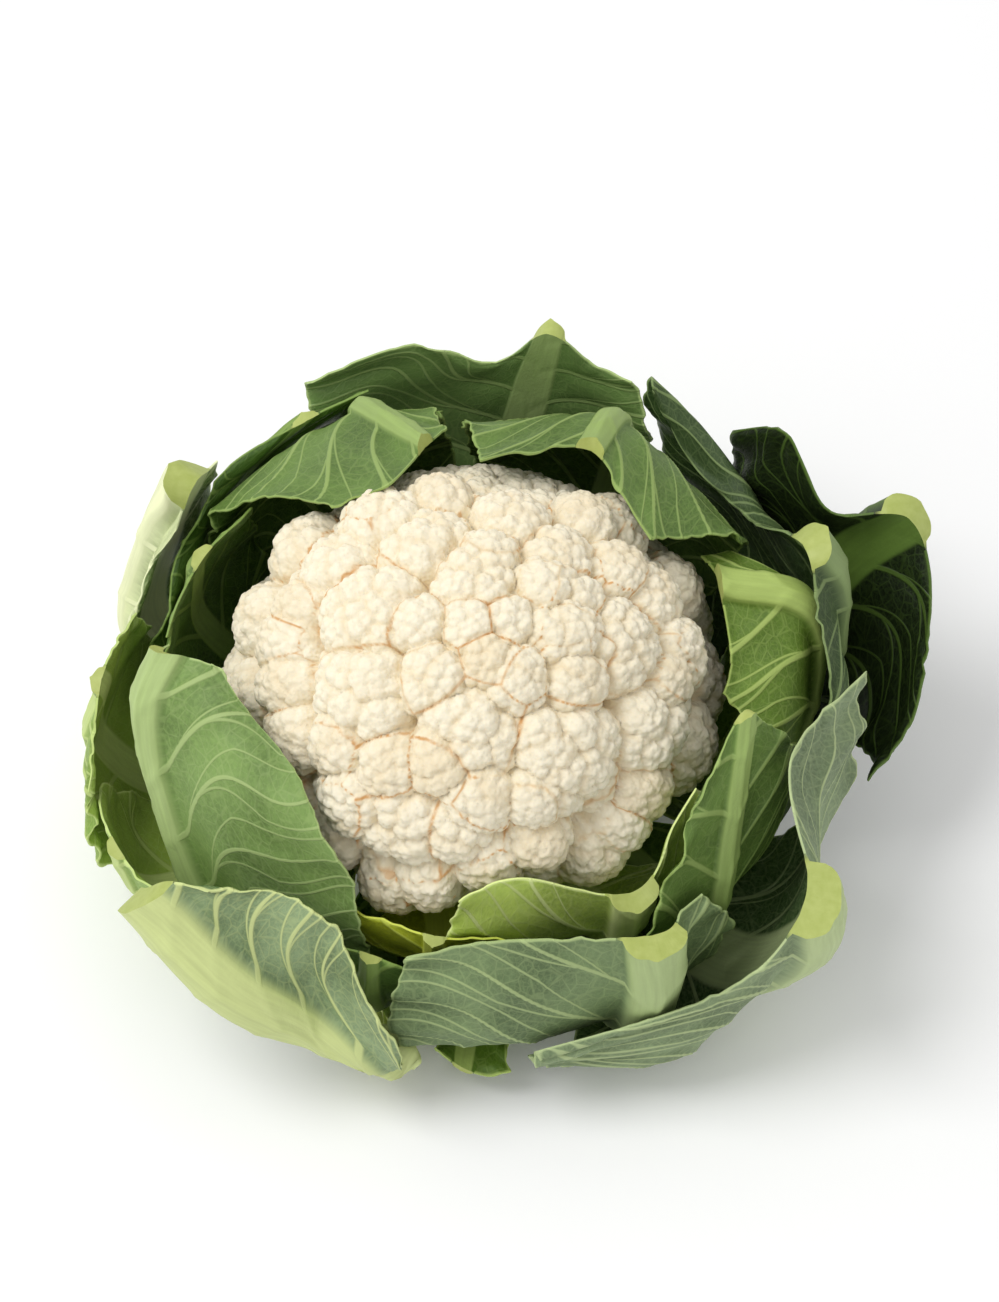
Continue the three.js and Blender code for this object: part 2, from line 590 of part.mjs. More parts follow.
function buildHead() {
  const head = new THREE.Group();
  addPiece(head, 'stem', stemGeometry(), material(0xc9d3a0, 0.6));
  addPiece(head, 'curd', curdGeometry(), material(0xf3e6cd, 0.75));
  const map = Array.from({ length: MAP_ROWS }, () => new Array(MAP_COLUMNS).fill(0));
  for (let azimuth = 0; azimuth < 360; azimuth += 1) {
    for (let tilt = 1; tilt < 180; tilt += 1) {
      raiseMap(map, curdPoint(azimuth, tilt));
    }
  }
  LEAVES.forEach((leaf, index) => {
    leaf.phase = 1.7 * index;
    leaf.controls = controlRows(leaf);
    layLeaf(leaf, map);
    addPiece(head, leaf.name, leafGeometry(leaf), material(leaf.color, 0.55));
  });
  return head;
}

export default buildHead();
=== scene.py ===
# Looks of a cauliflower head: the grained curd, the veined wrapper leaves and the cut stump.
# The leaf cages, and the way the leaves are laid, are those of the solids. Lengths are in millimetres.
import math

import bpy
import numpy as np
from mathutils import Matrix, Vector, kdtree


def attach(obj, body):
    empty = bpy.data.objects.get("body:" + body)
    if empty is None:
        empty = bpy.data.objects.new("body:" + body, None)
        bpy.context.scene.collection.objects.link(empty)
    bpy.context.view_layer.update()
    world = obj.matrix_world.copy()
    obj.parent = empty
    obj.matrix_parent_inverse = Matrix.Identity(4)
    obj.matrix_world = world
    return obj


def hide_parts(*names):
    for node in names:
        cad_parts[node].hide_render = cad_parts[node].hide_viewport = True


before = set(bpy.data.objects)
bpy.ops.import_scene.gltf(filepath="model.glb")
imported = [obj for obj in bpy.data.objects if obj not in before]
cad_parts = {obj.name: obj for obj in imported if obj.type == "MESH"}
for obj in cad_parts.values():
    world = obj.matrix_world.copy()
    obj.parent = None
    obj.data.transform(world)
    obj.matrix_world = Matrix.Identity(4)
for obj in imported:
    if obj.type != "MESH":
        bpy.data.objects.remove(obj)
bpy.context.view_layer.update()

MM = 0.001

# Driving dimensions of the curd
CURD_RADIUS = 65
CURD_HEIGHT_RADIUS = 56.5
CURD_CENTRE = np.array([3, -3, 62.0])
CURD_RIM_TILT = 104
CURD_FOOT_RADIUS = 17
CURD_FOOT_Z = 33
CURD_FOOT_TILT = 166
FLORET_RISE = 6.5
RIM_FLORET_TILT = 90
RIM_FLORET_RADIUS = 13
RIM_STEP = 20
RIM_FIRST = -20
RIM_LAST = 220

# How finely the curd is meshed: more of its points lie above the dense tilt
CURD_FREQUENCY = 98
CURD_DENSE_TILT = 124

# Lumps that cover the florets, then each other: spacing, radius and rise in mm
LUMP_LEVELS = [(8.6, 11.0, 0.4), (3.9, 4.2, 0.2), (2.0, 1.6, 0.18)]
LUMP_SIZES = (0.86, 1.14)
LUMP_NEIGHBOURS = 5
LUMP_FLOOR = 0.5
CURD_SEED = 7

# Widths in mm of the creases between florets, lumps and buds, and the step of the bare dome beside a crease
FLORET_CREASE = 0.6
LOBE_CREASE = 0.4
BUD_CREASE = 0.3
BARE_STEP = 6

# Driving dimensions of the stem: its outline is given as inset from the radius, and height
STEM_RADIUS = 23
STEM_TOP_Z = 32.6
STEM_OUTLINE = [(8, 0), (1.5, 0), (0.4, 1.2), (0.6, 8), (1.2, 18), (2.5, 27)]
STEM_RINGS = 97
STEM_SIDES = 96
STEM_FLUTES = 9
STEM_FLUTE_DEPTH = 0.35
STEM_FLUTE_TWIST = 0.12

# Driving dimensions that all leaves share
BLADE_THICKNESS = 0.9
LEAF_GAP = 0.5
PETIOLE_START_RADIUS = 24
PETIOLE_KNEE_RADIUS = 46
PETIOLE_HALF_WIDTH = 7
WAVE_HEIGHT = 1.6
PHASE_STEP = 1.7
RIGHT_PHASE = 2.1
PRESS_ROUNDS = 7
KNEE_DROP = 2
TURN_SHARE = 0.62
TURN_RISE = 0.3
WAVE_START = 2.2
WAVE_FULL = 3.2
CORNER_START = 0.6

# How finely the leaves are meshed: SIDE_COLUMNS on each side of the midrib, RIB_COLUMNS of them on it
BLADE_ROWS = 84
PETIOLE_ROWS = 12
SIDE_COLUMNS = 42
RIB_COLUMNS = 9
RIB_LARGEST_SHARE = 0.9
MEASURE_COLUMNS = 65

# Side veins: their spacing, sweep and bend, and where two forks start, how fast they part and how far
VEIN_SPACING = 18.8
VEIN_SWEEP = 1.05
VEIN_BEND = 0.0055
VEIN_SCALES = (3, 30)
VEIN_FORKS = ((11.0, 48.0, 0.42), (19.0, 60.0, 0.4))
FORK_RISES = (0.45, 0.4)
WOBBLES = (0.17, 0.10)
WOBBLE_WAVES = (8, 13, 17)
LEAF_SEED = 100
NOISE_STEP = 37.0

# Relief of the leaves in mm: veins on each face, the blade's bulges and quilting, the crimp and teeth
# of the margin, and the flat strips along a midrib. It fades in over these shares of a leaf's length.
OUTER_VEIN_RISE = 0.5
INNER_VEIN_RISE = 0.18
BULGE_HEIGHT = 0.7
QUILT_DEPTH = 0.55
CRIMP_HEIGHT = 0.5
TOOTH_LENGTH = 0.45
STRIP_DEPTH = 0.28
STRIP_WIDTH = 5.2
MARGIN_THINNING = 0.35
RELIEF_FADE = (0.25, 0.45)

# Widths of the same relief in mm: veins at the margin, what they gain at the midrib and how soon they
# taper, forks, the dips beside veins, and how far in from the margin the crimp, teeth and thinning reach
VEIN_WIDTH = 0.45
VEIN_GAIN = 0.9
VEIN_TAPER = 30
FORK_WIDTH = 0.7
QUILT_WIDTH = 2.6
CRIMP_REACH = 3.2
TOOTH_REACH = 0.9
THINNING_REACH = 1.5

# Lengths over which the waves of the relief turn by a radian, in mm
BULGE_WAVES = (10, 12)
SWELL_WAVES = (9, 23)
CRIMP_WAVES = (1.35, 2.3)
TOOTH_WAVES = (0.81, 3.7, 1.9)

# How the leaves are laid: distances from the heart are kept on a map of directions, in steps of degrees
HEART = np.array([0, 0, 55.0])
MAP_STEP = 2
MAP_COLUMNS = 360 // MAP_STEP
MAP_ROWS = 180 // MAP_STEP
PRESS_ACROSS = 32
PRESS_ALONG = 10

# Florets: azimuth and tilt from upright in degrees, and radius across in mm
FLORETS = [
    (199, 32, 15.5), (228, 48, 15.5), (252, 35, 11.5), (270, 47, 15.5), (231, 24, 10.5), (288, 6, 14),
    (269, 19, 9.5), (298, 20, 9), (279, 29, 10), (292, 35, 8), (313, 42, 11), (324, 30, 7.5), (346, 29, 10),
    (14, 25, 12), (58, 21, 13), (340, 18, 6.5), (40, 6, 8), (147, 16, 13), (110, 30, 10), (169, 41, 13),
    (182, 51, 9), (190, 58, 10), (202, 63, 11), (214, 69, 11), (229, 61, 9), (245, 60, 11),
    (260, 56, 10.5), (252, 74, 15), (266, 73, 12), (273, 63, 9), (238, 73, 9), (250, 98, 9), (259, 92, 8),
    (298, 59, 16.5), (286, 65, 8), (286, 79, 10), (302, 92, 11.5), (274, 83, 9), (309, 84, 8), (328, 69, 14),
    (341, 63, 8.5), (317, 80, 10.5), (340, 47, 14), (10, 43, 9.5), (4, 54, 12), (39, 42, 10), (38, 56, 9),
    (352, 65, 8), (138, 34, 8), (328, 41, 6),
    (150, 64, 12), (172, 72, 12), (192, 80, 12), (232, 90, 11), (20, 74, 11),
]

# Leaf colours as (inner face, outer face, veins), each an sRGB triple
DARK = ((0.21, 0.33, 0.06), (0.34, 0.46, 0.20), (0.50, 0.60, 0.30))
BACK = ((0.42, 0.53, 0.29), (0.40, 0.50, 0.28), (0.66, 0.74, 0.48))
# Near-black greens: painted shade, the shadow on the far right outer leaf darkened into its colours
PAINTED_SHADE_GREEN = ((0.04, 0.08, 0.01), (0.15, 0.22, 0.10), (0.34, 0.44, 0.18))
FRESH = ((0.34, 0.47, 0.11), (0.37, 0.48, 0.15), (0.66, 0.74, 0.40))
# Pale young-leaf green, partly painted glow: raised to stand for light shining through the inner front leaf
BRIGHT_PAINTED_GLOW = ((0.56, 0.68, 0.24), (0.74, 0.84, 0.40), (0.84, 0.89, 0.60))
MIDDLE = ((0.27, 0.40, 0.12), (0.47, 0.58, 0.31), (0.65, 0.73, 0.47))
MOSS = ((0.25, 0.37, 0.11), (0.38, 0.49, 0.22), (0.58, 0.67, 0.38))
# Inner face lighter than the outer: painted light that lifts the shade on the inner faces of the low left
# leaves
LEFT_PAINTED_LIGHT = ((0.60, 0.71, 0.29), (0.50, 0.62, 0.28), (0.74, 0.81, 0.50))
SLATE = ((0.13, 0.22, 0.07), (0.25, 0.33, 0.18), (0.52, 0.60, 0.38))
GREY = ((0.18, 0.30, 0.10), (0.44, 0.52, 0.35), (0.66, 0.73, 0.50))
FROST = ((0.20, 0.32, 0.12), (0.50, 0.57, 0.42), (0.70, 0.76, 0.55))
# Bright yellow-olive: painted glow, the light shining through the leaves into the shaded gap at the curd's
# front left
OLIVE_PAINTED_GLOW = ((0.62, 0.66, 0.10), (0.70, 0.74, 0.18), (0.76, 0.80, 0.34))
PALE = ((0.25, 0.38, 0.15), (0.52, 0.60, 0.44), (0.78, 0.82, 0.55))
WAXY = ((0.36, 0.47, 0.20), (0.76, 0.80, 0.60), (0.88, 0.90, 0.72))

# Other colours, as sRGB triples: the curd with painted shade in its creases, the cut leaf ribs and the stump
CREAMS = ((0.94, 0.895, 0.785), (0.965, 0.935, 0.85))
# Warm tan, partly the curd's own tint between florets, partly painted shade darkening its creases
CREASE_SHADE = (0.85, 0.74, 0.52)
RUST = (0.80, 0.55, 0.26)
# Darker cream: painted shade in the small creases between the smallest lumps
BUD_SHADE = (0.84, 0.76, 0.60)
STALK = (0.80, 0.84, 0.60)
SAPS = ((0.62, 0.67, 0.32), (0.73, 0.77, 0.46))
STUMPS = ((0.70, 0.75, 0.48), (0.83, 0.85, 0.64))

# Camera, light and floor, in metres
CAMERA_ELEVATION = math.radians(55)
CAMERA_DISTANCE = 1.0246
CAMERA_AIM = Vector((0.0103, 0.0067, 0.0647))
CAMERA_LENS_MM = 100
CAMERA_SENSOR_MM = 36
KEY_PLACE = Vector((-0.75, -0.05, 1.4))
KEY_AIM = Vector((0, 0, 0.05))
KEY_SIZE = 0.9
KEY_POWER = 12
WORLD_STRENGTH = 0.72
FLOOR_REACH = 3.0

# Leaves from the heart outward. Each point is azimuth in degrees, radius and height in mm, on the inner face.
LEAVES = [
    dict(name="leaf_left_inner", base=(150, 27), round=(0.2, 0.2), rib=(6, 4, 5, 3), wave=5,
         look=DARK, slot="leaf_dark", rows=[
        [(138, 80, 50), (149, 80, 52), (161, 80, 53), (172, 81, 52), (184, 82, 50)],
        [(141, 78, 72), (151, 78, 74), (162, 79, 75), (173, 81, 72), (184, 83, 66)],
        [(143, 73, 86), (152, 71, 91), (163, 76, 88), (173, 80, 82), (182, 84, 76)]]),
    dict(name="leaf_front_inner", base=(300, 27), round=(0.12, 0.1), rib=(7, 7, 6, 6), wave=5,
         look=BRIGHT_PAINTED_GLOW, slot="leaf_fresh", rows=[
        [(269, 76, 44), (284, 78, 42), (303, 80, 40), (315, 81, 46), (325, 83, 50)],
        [(266, 79, 54), (282, 80, 56), (303, 83, 51), (315, 82, 62), (326, 83, 66)],
        [(265, 78, 65), (281, 77, 76), (303, 85, 62), (314, 83, 78), (321, 84, 91)]]),
    dict(name="leaf_front_left_inner", base=(262, 27), round=(0.2, 0.2), rib=(6, 3, 5, 3), wave=5,
         look=OLIVE_PAINTED_GLOW, slot="leaf_fresh", rows=[
        [(246, 70, 26), (255, 71, 25), (265, 72, 24), (276, 72, 25), (286, 71, 27)],
        [(243, 77, 42), (254, 78, 42), (265, 78, 42), (276, 78, 42), (286, 77, 42)],
        [(243, 79, 56), (254, 80, 58), (265, 80, 58), (276, 79, 56), (286, 78, 52)]]),
    dict(name="leaf_right_inner", base=(350, 27), round=(0.2, 0.1), rib=(7, 5, 6, 5), wave=6,
         look=FRESH, slot="leaf_fresh", rows=[
        [(332, 83, 52), (343, 92, 50), (356, 94, 50), (8, 90, 54), (18, 86, 56)],
        [(336, 79, 68), (345, 92, 74), (4, 95, 85), (12, 89, 84), (20, 83, 78)],
        [(340, 74, 78), (352, 75, 83), (9, 72, 90), (14, 72, 89), (20, 72, 86)]]),
    dict(name="leaf_over_top_right", base=(62, 27), round=(0.15, 0.15), rib=(6, 4, 5, 4), wave=6,
         look=MOSS, slot="leaf_fresh", rows=[
        [(28, 82, 50), (44, 82, 50), (60, 83, 50), (74, 82, 52), (88, 81, 54)],
        [(24, 83, 74), (42, 83, 78), (57, 82, 81), (72, 79, 80), (90, 75, 80)],
        [(15, 76, 93), (36, 75, 97), (55, 73, 102), (71, 62, 104), (91, 53, 107)],
        [(8, 54, 108), (28, 51, 110), (49, 54, 113), (68, 40, 115), (90, 29, 117)]]),
    dict(name="leaf_over_top_left", base=(112, 27), round=(0.1, 0.25), rib=(6, 4, 5, 4), wave=7,
         look=MOSS, slot="leaf_fresh", rows=[
        [(92, 81, 52), (102, 82, 52), (113, 82, 52), (130, 82, 52), (148, 82, 50)],
        [(94, 79, 76), (102, 80, 78), (111, 81, 80), (128, 82, 78), (149, 84, 71)],
        [(96, 67, 96), (103, 68, 97), (112, 72, 97), (128, 73, 94), (152, 77, 84)],
        [(94, 52, 108), (99, 47, 111), (104, 43, 113), (131, 32, 117), (152, 55, 105)]]),
    dict(name="leaf_left_folded", base=(222, 27), round=(0, 0.1), rib=(8, 6, 6, 5), wave=6,
         look=MIDDLE, slot="leaf_mid", rows=[
        [(209, 86, 36), (213, 88, 34), (217, 89, 32), (233, 86, 31), (252, 82, 30)],
        [(199, 87, 64), (202, 89, 64), (206, 90, 63), (225, 87, 66), (250, 81, 60)],
        [(193, 86, 86), (195, 88, 86), (198, 89, 86), (216, 78, 92), (240, 73, 86)],
        [(188, 82, 93), (190, 83, 95), (192, 81, 97), (196, 74, 99), (201, 67, 99)]]),
    dict(name="leaf_front_left_mid", base=(244, 22), round=(0.2, 0.2), rib=(6, 3, 5, 3), wave=6,
         look=DARK, slot="leaf_dark", rows=[
        [(240, 79, 25), (247, 80, 24), (254, 80, 24), (261, 80, 25), (268, 79, 26)],
        [(240, 88, 37), (247, 89, 36), (254, 90, 36), (261, 90, 36), (267, 89, 36)],
        [(241, 88, 50), (247, 89, 53), (254, 89, 53), (260, 89, 50), (266, 88, 46)]]),
    dict(name="leaf_front_right_inner", base=(325, 26), round=(0.1, 0.2), rib=(6, 4, 5, 3), wave=6,
         look=MOSS, slot="leaf_fresh", rows=[
        [(300, 92, 46), (308, 94, 45), (316, 95, 45), (328, 96, 47), (340, 96, 50)],
        [(308, 92, 72), (315, 91, 76), (322, 92, 78), (331, 97, 80), (340, 99, 76)],
        [(315, 86, 88), (323, 85, 98), (331, 86, 106), (334, 90, 98), (338, 96, 86)]]),
    dict(name="leaf_back_left", base=(168, 20), round=(0.15, 0.3), rib=(7, 4, 5, 3), wave=6,
         look=DARK, slot="leaf_dark", rows=[
        [(134, 85, 48), (144, 86, 49), (155, 86, 50), (165, 86, 50), (174, 87, 48)],
        [(115, 85, 70), (126, 86, 73), (140, 87, 73), (153, 86, 71), (166, 88, 66)],
        [(107, 80, 89), (114, 81, 90), (123, 83, 90), (138, 86, 86), (152, 88, 80)]]),
    dict(name="leaf_back", base=(82, 20), round=(0.1, 0.05), rib=(8, 6, 6, 5), wave=6,
         look=BACK, slot="leaf_dark", rows=[
        [(58, 91, 48), (65, 92, 47), (73, 92, 46), (81, 92, 45), (90, 92, 46), (99, 92, 47), (108, 92, 50)],
        [(54, 93, 76), (61, 94, 75), (69, 94, 75),
         (78, 94, 76), (90, 95, 73), (103, 95, 74), (118, 94, 74)],
        [(57, 94, 97), (62, 94, 95), (67, 93, 97),
         (75, 91, 107), (85, 94, 87), (100, 95, 95), (121, 98, 88)]]),
    dict(name="leaf_right_mid", base=(8, 20), round=(0.1, 0.12), rib=(8, 8, 7, 8), wave=6,
         look=SLATE, slot="leaf_grey", rows=[
        [(347, 105, 40), (354, 104, 44), (2, 102, 47),
         (9, 101, 48), (20, 101, 47), (33, 99, 48), (49, 96, 50)],
        [(346, 109, 51), (354, 107, 61), (2, 105, 68),
         (9, 103, 70), (22, 101, 62), (38, 99, 65), (55, 97, 75)],
        [(345, 109, 60), (354, 106, 74), (3, 103, 84),
         (9, 101, 90), (28, 99, 74), (46, 98, 80), (60, 98, 92)],
        [(344, 104, 66), (352, 102, 80), (1, 98, 93),
         (9, 95, 104), (27, 93, 78), (47, 91, 73), (60, 97, 99)]]),
    dict(name="leaf_front_outer", base=(294, 20), round=(0.04, 0.1), rib=(9, 8, 8, 8), wave=7,
         look=GREY, slot="leaf_grey", rows=[
        [(260, 98, 26), (279, 99, 26), (299, 98, 25), (308, 98, 28), (314, 98, 30)],
        [(258, 97, 42), (277, 98, 45), (300, 103, 47), (309, 101, 48), (316, 98, 50)],
        [(259, 90, 58), (276, 89, 66), (300, 102, 68), (307, 99, 66), (313, 95, 64)]]),
    dict(name="leaf_front_right_outer", base=(312, 20), round=(0.05, 0), rib=(10, 10, 9, 10), wave=7,
         look=FROST, slot="leaf_grey", rows=[
        [(284, 101, 18), (302, 110, 19), (318, 106, 24), (329, 104, 30), (342, 103, 34)],
        [(281, 103, 22), (304, 118, 31), (320, 119, 44), (331, 111, 55), (343, 106, 58)],
        [(280, 104, 25), (305, 117, 42), (320, 123, 60), (333, 108, 75), (346, 109, 77)],
        [(279, 104, 27), (306, 115, 49), (319, 122, 73), (331, 100, 92), (350, 111, 92)]]),
    dict(name="leaf_right_outer", base=(20, 13), round=(0, 0.08), rib=(9, 8, 8, 8), wave=6,
         look=PAINTED_SHADE_GREEN, slot="leaf_dark", rows=[
        [(357, 103, 32), (3, 105, 34), (11, 106, 38),
         (20, 105, 43), (28, 104, 44), (35, 102, 46), (42, 100, 47)],
        [(357, 114, 36), (2, 121, 44), (8, 123, 58),
         (18, 118, 72), (25, 109, 72), (33, 104, 76), (42, 101, 62)],
        [(348, 118, 46), (357, 129, 56), (8, 133, 77),
         (15, 130, 91), (20, 110, 90), (31, 105, 104), (44, 103, 82)]]),
    dict(name="leaf_left_low", base=(200, 13), round=(0.2, 0.2), rib=(6, 4, 5, 3), wave=6,
         look=LEFT_PAINTED_LIGHT, slot="leaf_fresh", rows=[
        [(190, 96, 28), (198, 99, 27), (208, 101, 26), (218, 101, 27), (228, 97, 29)],
        [(192, 103, 46), (199, 107, 51), (208, 108, 52), (218, 106, 52), (230, 99, 50)]]),
    dict(name="leaf_left_outer", base=(182, 13), round=(0.2, 0.15), rib=(7, 4, 5, 3), wave=7,
         look=LEFT_PAINTED_LIGHT, slot="leaf_dark", rows=[
        [(165, 92, 42), (174, 95, 42), (184, 98, 42), (194, 101, 38), (202, 102, 30)],
        [(168, 92, 62), (176, 96, 66), (185, 100, 66), (194, 103, 58), (201, 106, 44)],
        [(169, 91, 73), (177, 95, 77), (186, 101, 75), (193, 104, 68), (200, 108, 52)]]),
    dict(name="leaf_front_low", base=(272, 18), round=(0.05, 0.1), rib=(4, 3, 3, 2), wave=5,
         look=FRESH, slot="leaf_fresh", rows=[
        [(266, 82, 14), (268, 82, 13), (271, 83, 13), (274, 83, 13), (278, 84, 14)],
        [(265, 93, 16), (267, 95, 14), (270, 98, 12), (274, 101, 12), (278, 102, 15)]]),
    dict(name="leaf_front_left_outer", base=(246, 20), gap=2.4, round=(0, 0.15), rib=(9, 10, 3, 10), wave=5,
         look=PALE, slot="leaf_pale", rows=[
        [(262, 90, 20), (260, 89, 22), (258, 88, 24), (259, 90, 31), (261, 91, 40)],
        [(250, 98, 18), (249, 99, 22), (247, 100, 28), (248, 94, 45), (252, 88, 61)],
        [(236, 107, 34), (236, 109, 39), (236, 109, 46), (238, 100, 62), (243, 89, 73)],
        [(218, 110, 59), (219, 112, 63), (221, 112, 68), (224, 108, 74), (231, 100, 75)]]),
    dict(name="leaf_upper_left_outer", base=(140, 13), round=(0.2, 0.25), rib=(10, 9, 9, 9), wave=5,
         look=WAXY, slot="leaf_pale", rows=[
        [(148, 93, 42), (154, 94, 43), (161, 95, 43), (169, 94, 42), (176, 94, 40)],
        [(140, 89, 70), (147, 90, 72), (155, 91, 74), (161, 91, 71), (168, 91, 64)],
        [(138, 88, 83), (143, 88, 86), (148, 88, 91), (153, 89, 86), (158, 90, 80)]]),
]


# Shapes that the construction shares

def polar(azimuth, radius, z):
    turn = np.radians(azimuth)
    return np.array([radius * np.cos(turn), radius * np.sin(turn), z], float)


def smooth_step(low, high, value):
    t = np.clip((value - low) / (high - low), 0, 1)
    return t * t * (3 - 2 * t)


def spline_matrix(count, parameters):
    """Weights that turn count control points into the spline's points at the parameters."""
    parameters = np.asarray(parameters, float)
    first = np.minimum(np.floor(parameters).astype(int), count - 2)
    t = parameters - first
    weights = [
        (-t + 2 * t**2 - t**3) / 2,
        (2 - 5 * t**2 + 3 * t**3) / 2,
        (t + 4 * t**2 - 3 * t**3) / 2,
        (-t**2 + t**3) / 2,
    ]
    matrix = np.zeros((len(parameters), count))
    lines = np.arange(len(parameters))
    for step, weight in zip((-1, 0, 1, 2), weights):
        column = first + step
        inside = (column >= 0) & (column < count)
        np.add.at(matrix, (lines[inside], column[inside]), weight[inside])
        low = column < 0
        np.add.at(matrix, (lines[low], 0), 2 * weight[low])
        np.add.at(matrix, (lines[low], 1), -weight[low])
        high = column >= count
        np.add.at(matrix, (lines[high], count - 1), 2 * weight[high])
        np.add.at(matrix, (lines[high], count - 2), -weight[high])
    return matrix


def petiole_row(leaf, radius, z):
    azimuth = leaf["base"][0]
    middle = polar(azimuth, radius, z)
    across = polar(azimuth + 90, 1, 0)
    sides = np.linspace(-1, 1, len(leaf["rows"][0]))
    return [middle + across * side * PETIOLE_HALF_WIDTH for side in sides]


def control_rows(leaf):
    """The leaf's cage: its own rows after three more that lead from the stem and turn upward."""
    rows = [[polar(*point) for point in row] for row in leaf["rows"]]
    z = leaf["base"][1]
    start = petiole_row(leaf, PETIOLE_START_RADIUS, z)
    knee = petiole_row(leaf, PETIOLE_KNEE_RADIUS, z - KNEE_DROP)
    turn = []
    for low, point in zip(knee, rows[0]):
        under = low + (point - low) * TURN_SHARE
        under[2] = min(under[2], z - KNEE_DROP + TURN_RISE * (point[2] - z))
        turn.append(under)
    return np.array([start, knee, turn, *rows])


def leaf_points(leaf, u, v):
    """Points of the inner face: u is a grid of places across the blade, v one place along it for each row."""
    controls = leaf["controls"]
    count, columns = controls.shape[:2]
    along = v * (count - 1)
    crossing = (spline_matrix(count, along) @ controls.reshape(count, -1)).reshape(len(v), columns, 3)
    middle = (columns - 1) / 2
    weights = spline_matrix(columns, (middle * (1 + u)).ravel()).reshape(*u.shape, columns)
    points = np.einsum("vuc,vcx->vux", weights, crossing)
    free = smooth_step(WAVE_START, WAVE_FULL, along)[:, None]
    phase = np.where(u < 0, leaf["phase"], RIGHT_PHASE * leaf["phase"])
    wave = WAVE_HEIGHT * np.abs(u) ** 3 * free * np.sin(2 * math.pi * leaf["wave"] * v[:, None] + phase)
    outward = points - HEART
    outward /= np.linalg.norm(outward, axis=2, keepdims=True)
    return points + outward * wave[..., None]


def side_distances(points):
    """Distance from the midrib, signed by side, for a grid whose middle column is the midrib."""
    steps = np.linalg.norm(np.diff(points, axis=1), axis=2)
    total = np.concatenate([np.zeros((len(points), 1)), np.cumsum(steps, axis=1)], axis=1)
    return total - total[:, [total.shape[1] // 2]]


def grid_normals(grid):
    above = np.concatenate([grid[1:], grid[-1:]])
    below = np.concatenate([grid[:1], grid[:-1]])
    right = np.concatenate([grid[:, 1:], grid[:, -1:]], axis=1)
    left = np.concatenate([grid[:, :1], grid[:, :-1]], axis=1)
    normal = np.cross(right - left, above - below)
    return normal / np.maximum(np.linalg.norm(normal, axis=2, keepdims=True), 1e-9)


def rib_half_width(leaf, v):
    return leaf["rib"][0] + (leaf["rib"][1] - leaf["rib"][0]) * v


def thickness(leaf, distance, v):
    rib = leaf["rib"][2] + (leaf["rib"][3] - leaf["rib"][2]) * v
    reach = np.minimum(np.abs(distance) / rib_half_width(leaf, v), 1)
    return BLADE_THICKNESS + (rib - BLADE_THICKNESS) * np.sqrt(1 - reach**2)


# Room between leaves: each one is eased outward until it clears everything laid before it

def map_place(points):
    """Row and column on the map of directions, and distance from the heart."""
    offset = points - HEART
    distance = np.linalg.norm(offset, axis=-1)
    direction = offset / distance[..., None]
    azimuth = np.degrees(np.arctan2(direction[..., 1], direction[..., 0]))
    tilt = np.degrees(np.arccos(np.clip(direction[..., 2], -1, 1)))
    column = ((azimuth + 360) / MAP_STEP) % MAP_COLUMNS
    return np.minimum(tilt / MAP_STEP, MAP_ROWS - 0.01), column, distance


def raise_map(reach, points):
    row, column, distance = map_place(points)
    cells = (row.astype(int).ravel(), column.astype(int).ravel() % MAP_COLUMNS)
    np.maximum.at(reach, cells, distance.ravel())


def shortfall(reach, points, gap):
    """How much further out each point has to be to clear what the map holds round it."""
    row, column, distance = map_place(points)
    next_row = np.clip(row + np.where(row % 1 < 0.5, -1, 1), 0, MAP_ROWS - 1)
    next_column = column + np.where(column % 1 < 0.5, -1, 1) + MAP_COLUMNS
    rows = [np.floor(row).astype(int), np.floor(next_row).astype(int)]
    columns = [np.floor(place).astype(int) % MAP_COLUMNS for place in (column, next_column)]
    around = np.max([reach[i, j] for i in rows for j in columns], axis=0)
    return around + gap - distance


def lay_leaf(leaf, reach):
    """Eases the leaf's cage outward until it clears the map, then adds the leaf to the map."""
    count, columns = leaf["controls"].shape[:2]
    steps = PRESS_ALONG * (count - 1)
    across = np.linspace(-1, 1, PRESS_ACROSS + 1)
    along = np.linspace(0, 1, steps + 1)
    grid = np.tile(across, (len(along), 1))
    row = np.floor(np.arange(steps + 1) / PRESS_ALONG + 0.5).astype(int)
    column = np.floor(np.arange(PRESS_ACROSS + 1) * (columns - 1) / PRESS_ACROSS + 0.5).astype(int)
    fine = np.linspace(-1, 1, 2 * PRESS_ACROSS + 1)
    for _ in range(PRESS_ROUNDS):
        short = shortfall(reach, leaf_points(leaf, grid, along), leaf.get("gap", LEAF_GAP))
        push = np.zeros((count, columns))
        np.maximum.at(push, (row[:, None], column[None, :]), short)
        outward = leaf["controls"] - HEART
        outward /= np.linalg.norm(outward, axis=2, keepdims=True)
        leaf["controls"] = leaf["controls"] + outward * push[..., None]
    along = np.linspace(0, 1, 2 * steps + 1)
    points = leaf_points(leaf, np.tile(fine, (len(along), 1)), along)
    depth = thickness(leaf, side_distances(points), along[:, None])
    raise_map(reach, points + grid_normals(points) * depth[..., None])


# The curd's first level: florets stand out of a dome

def floret_spheres():
    """Middle and radius of each floret's ball, of which a cap stands out of the dome."""
    azimuths = range(RIM_FIRST, RIM_LAST + 1, RIM_STEP)
    rim = [(azimuth, RIM_FLORET_TILT, RIM_FLORET_RADIUS) for azimuth in azimuths]
    spheres = []
    for azimuth, tilt, radius in FLORETS + rim:
        turn = math.radians(tilt)
        outward = polar(azimuth, math.sin(turn), math.cos(turn))
        depth = 1 / math.hypot(math.sin(turn) / CURD_RADIUS, outward[2] / CURD_HEIGHT_RADIUS)
        ball = (radius**2 + FLORET_RISE**2) / (2 * FLORET_RISE)
        spheres.append((outward * (depth + FLORET_RISE - ball), ball))
    return spheres


SPHERES = floret_spheres()


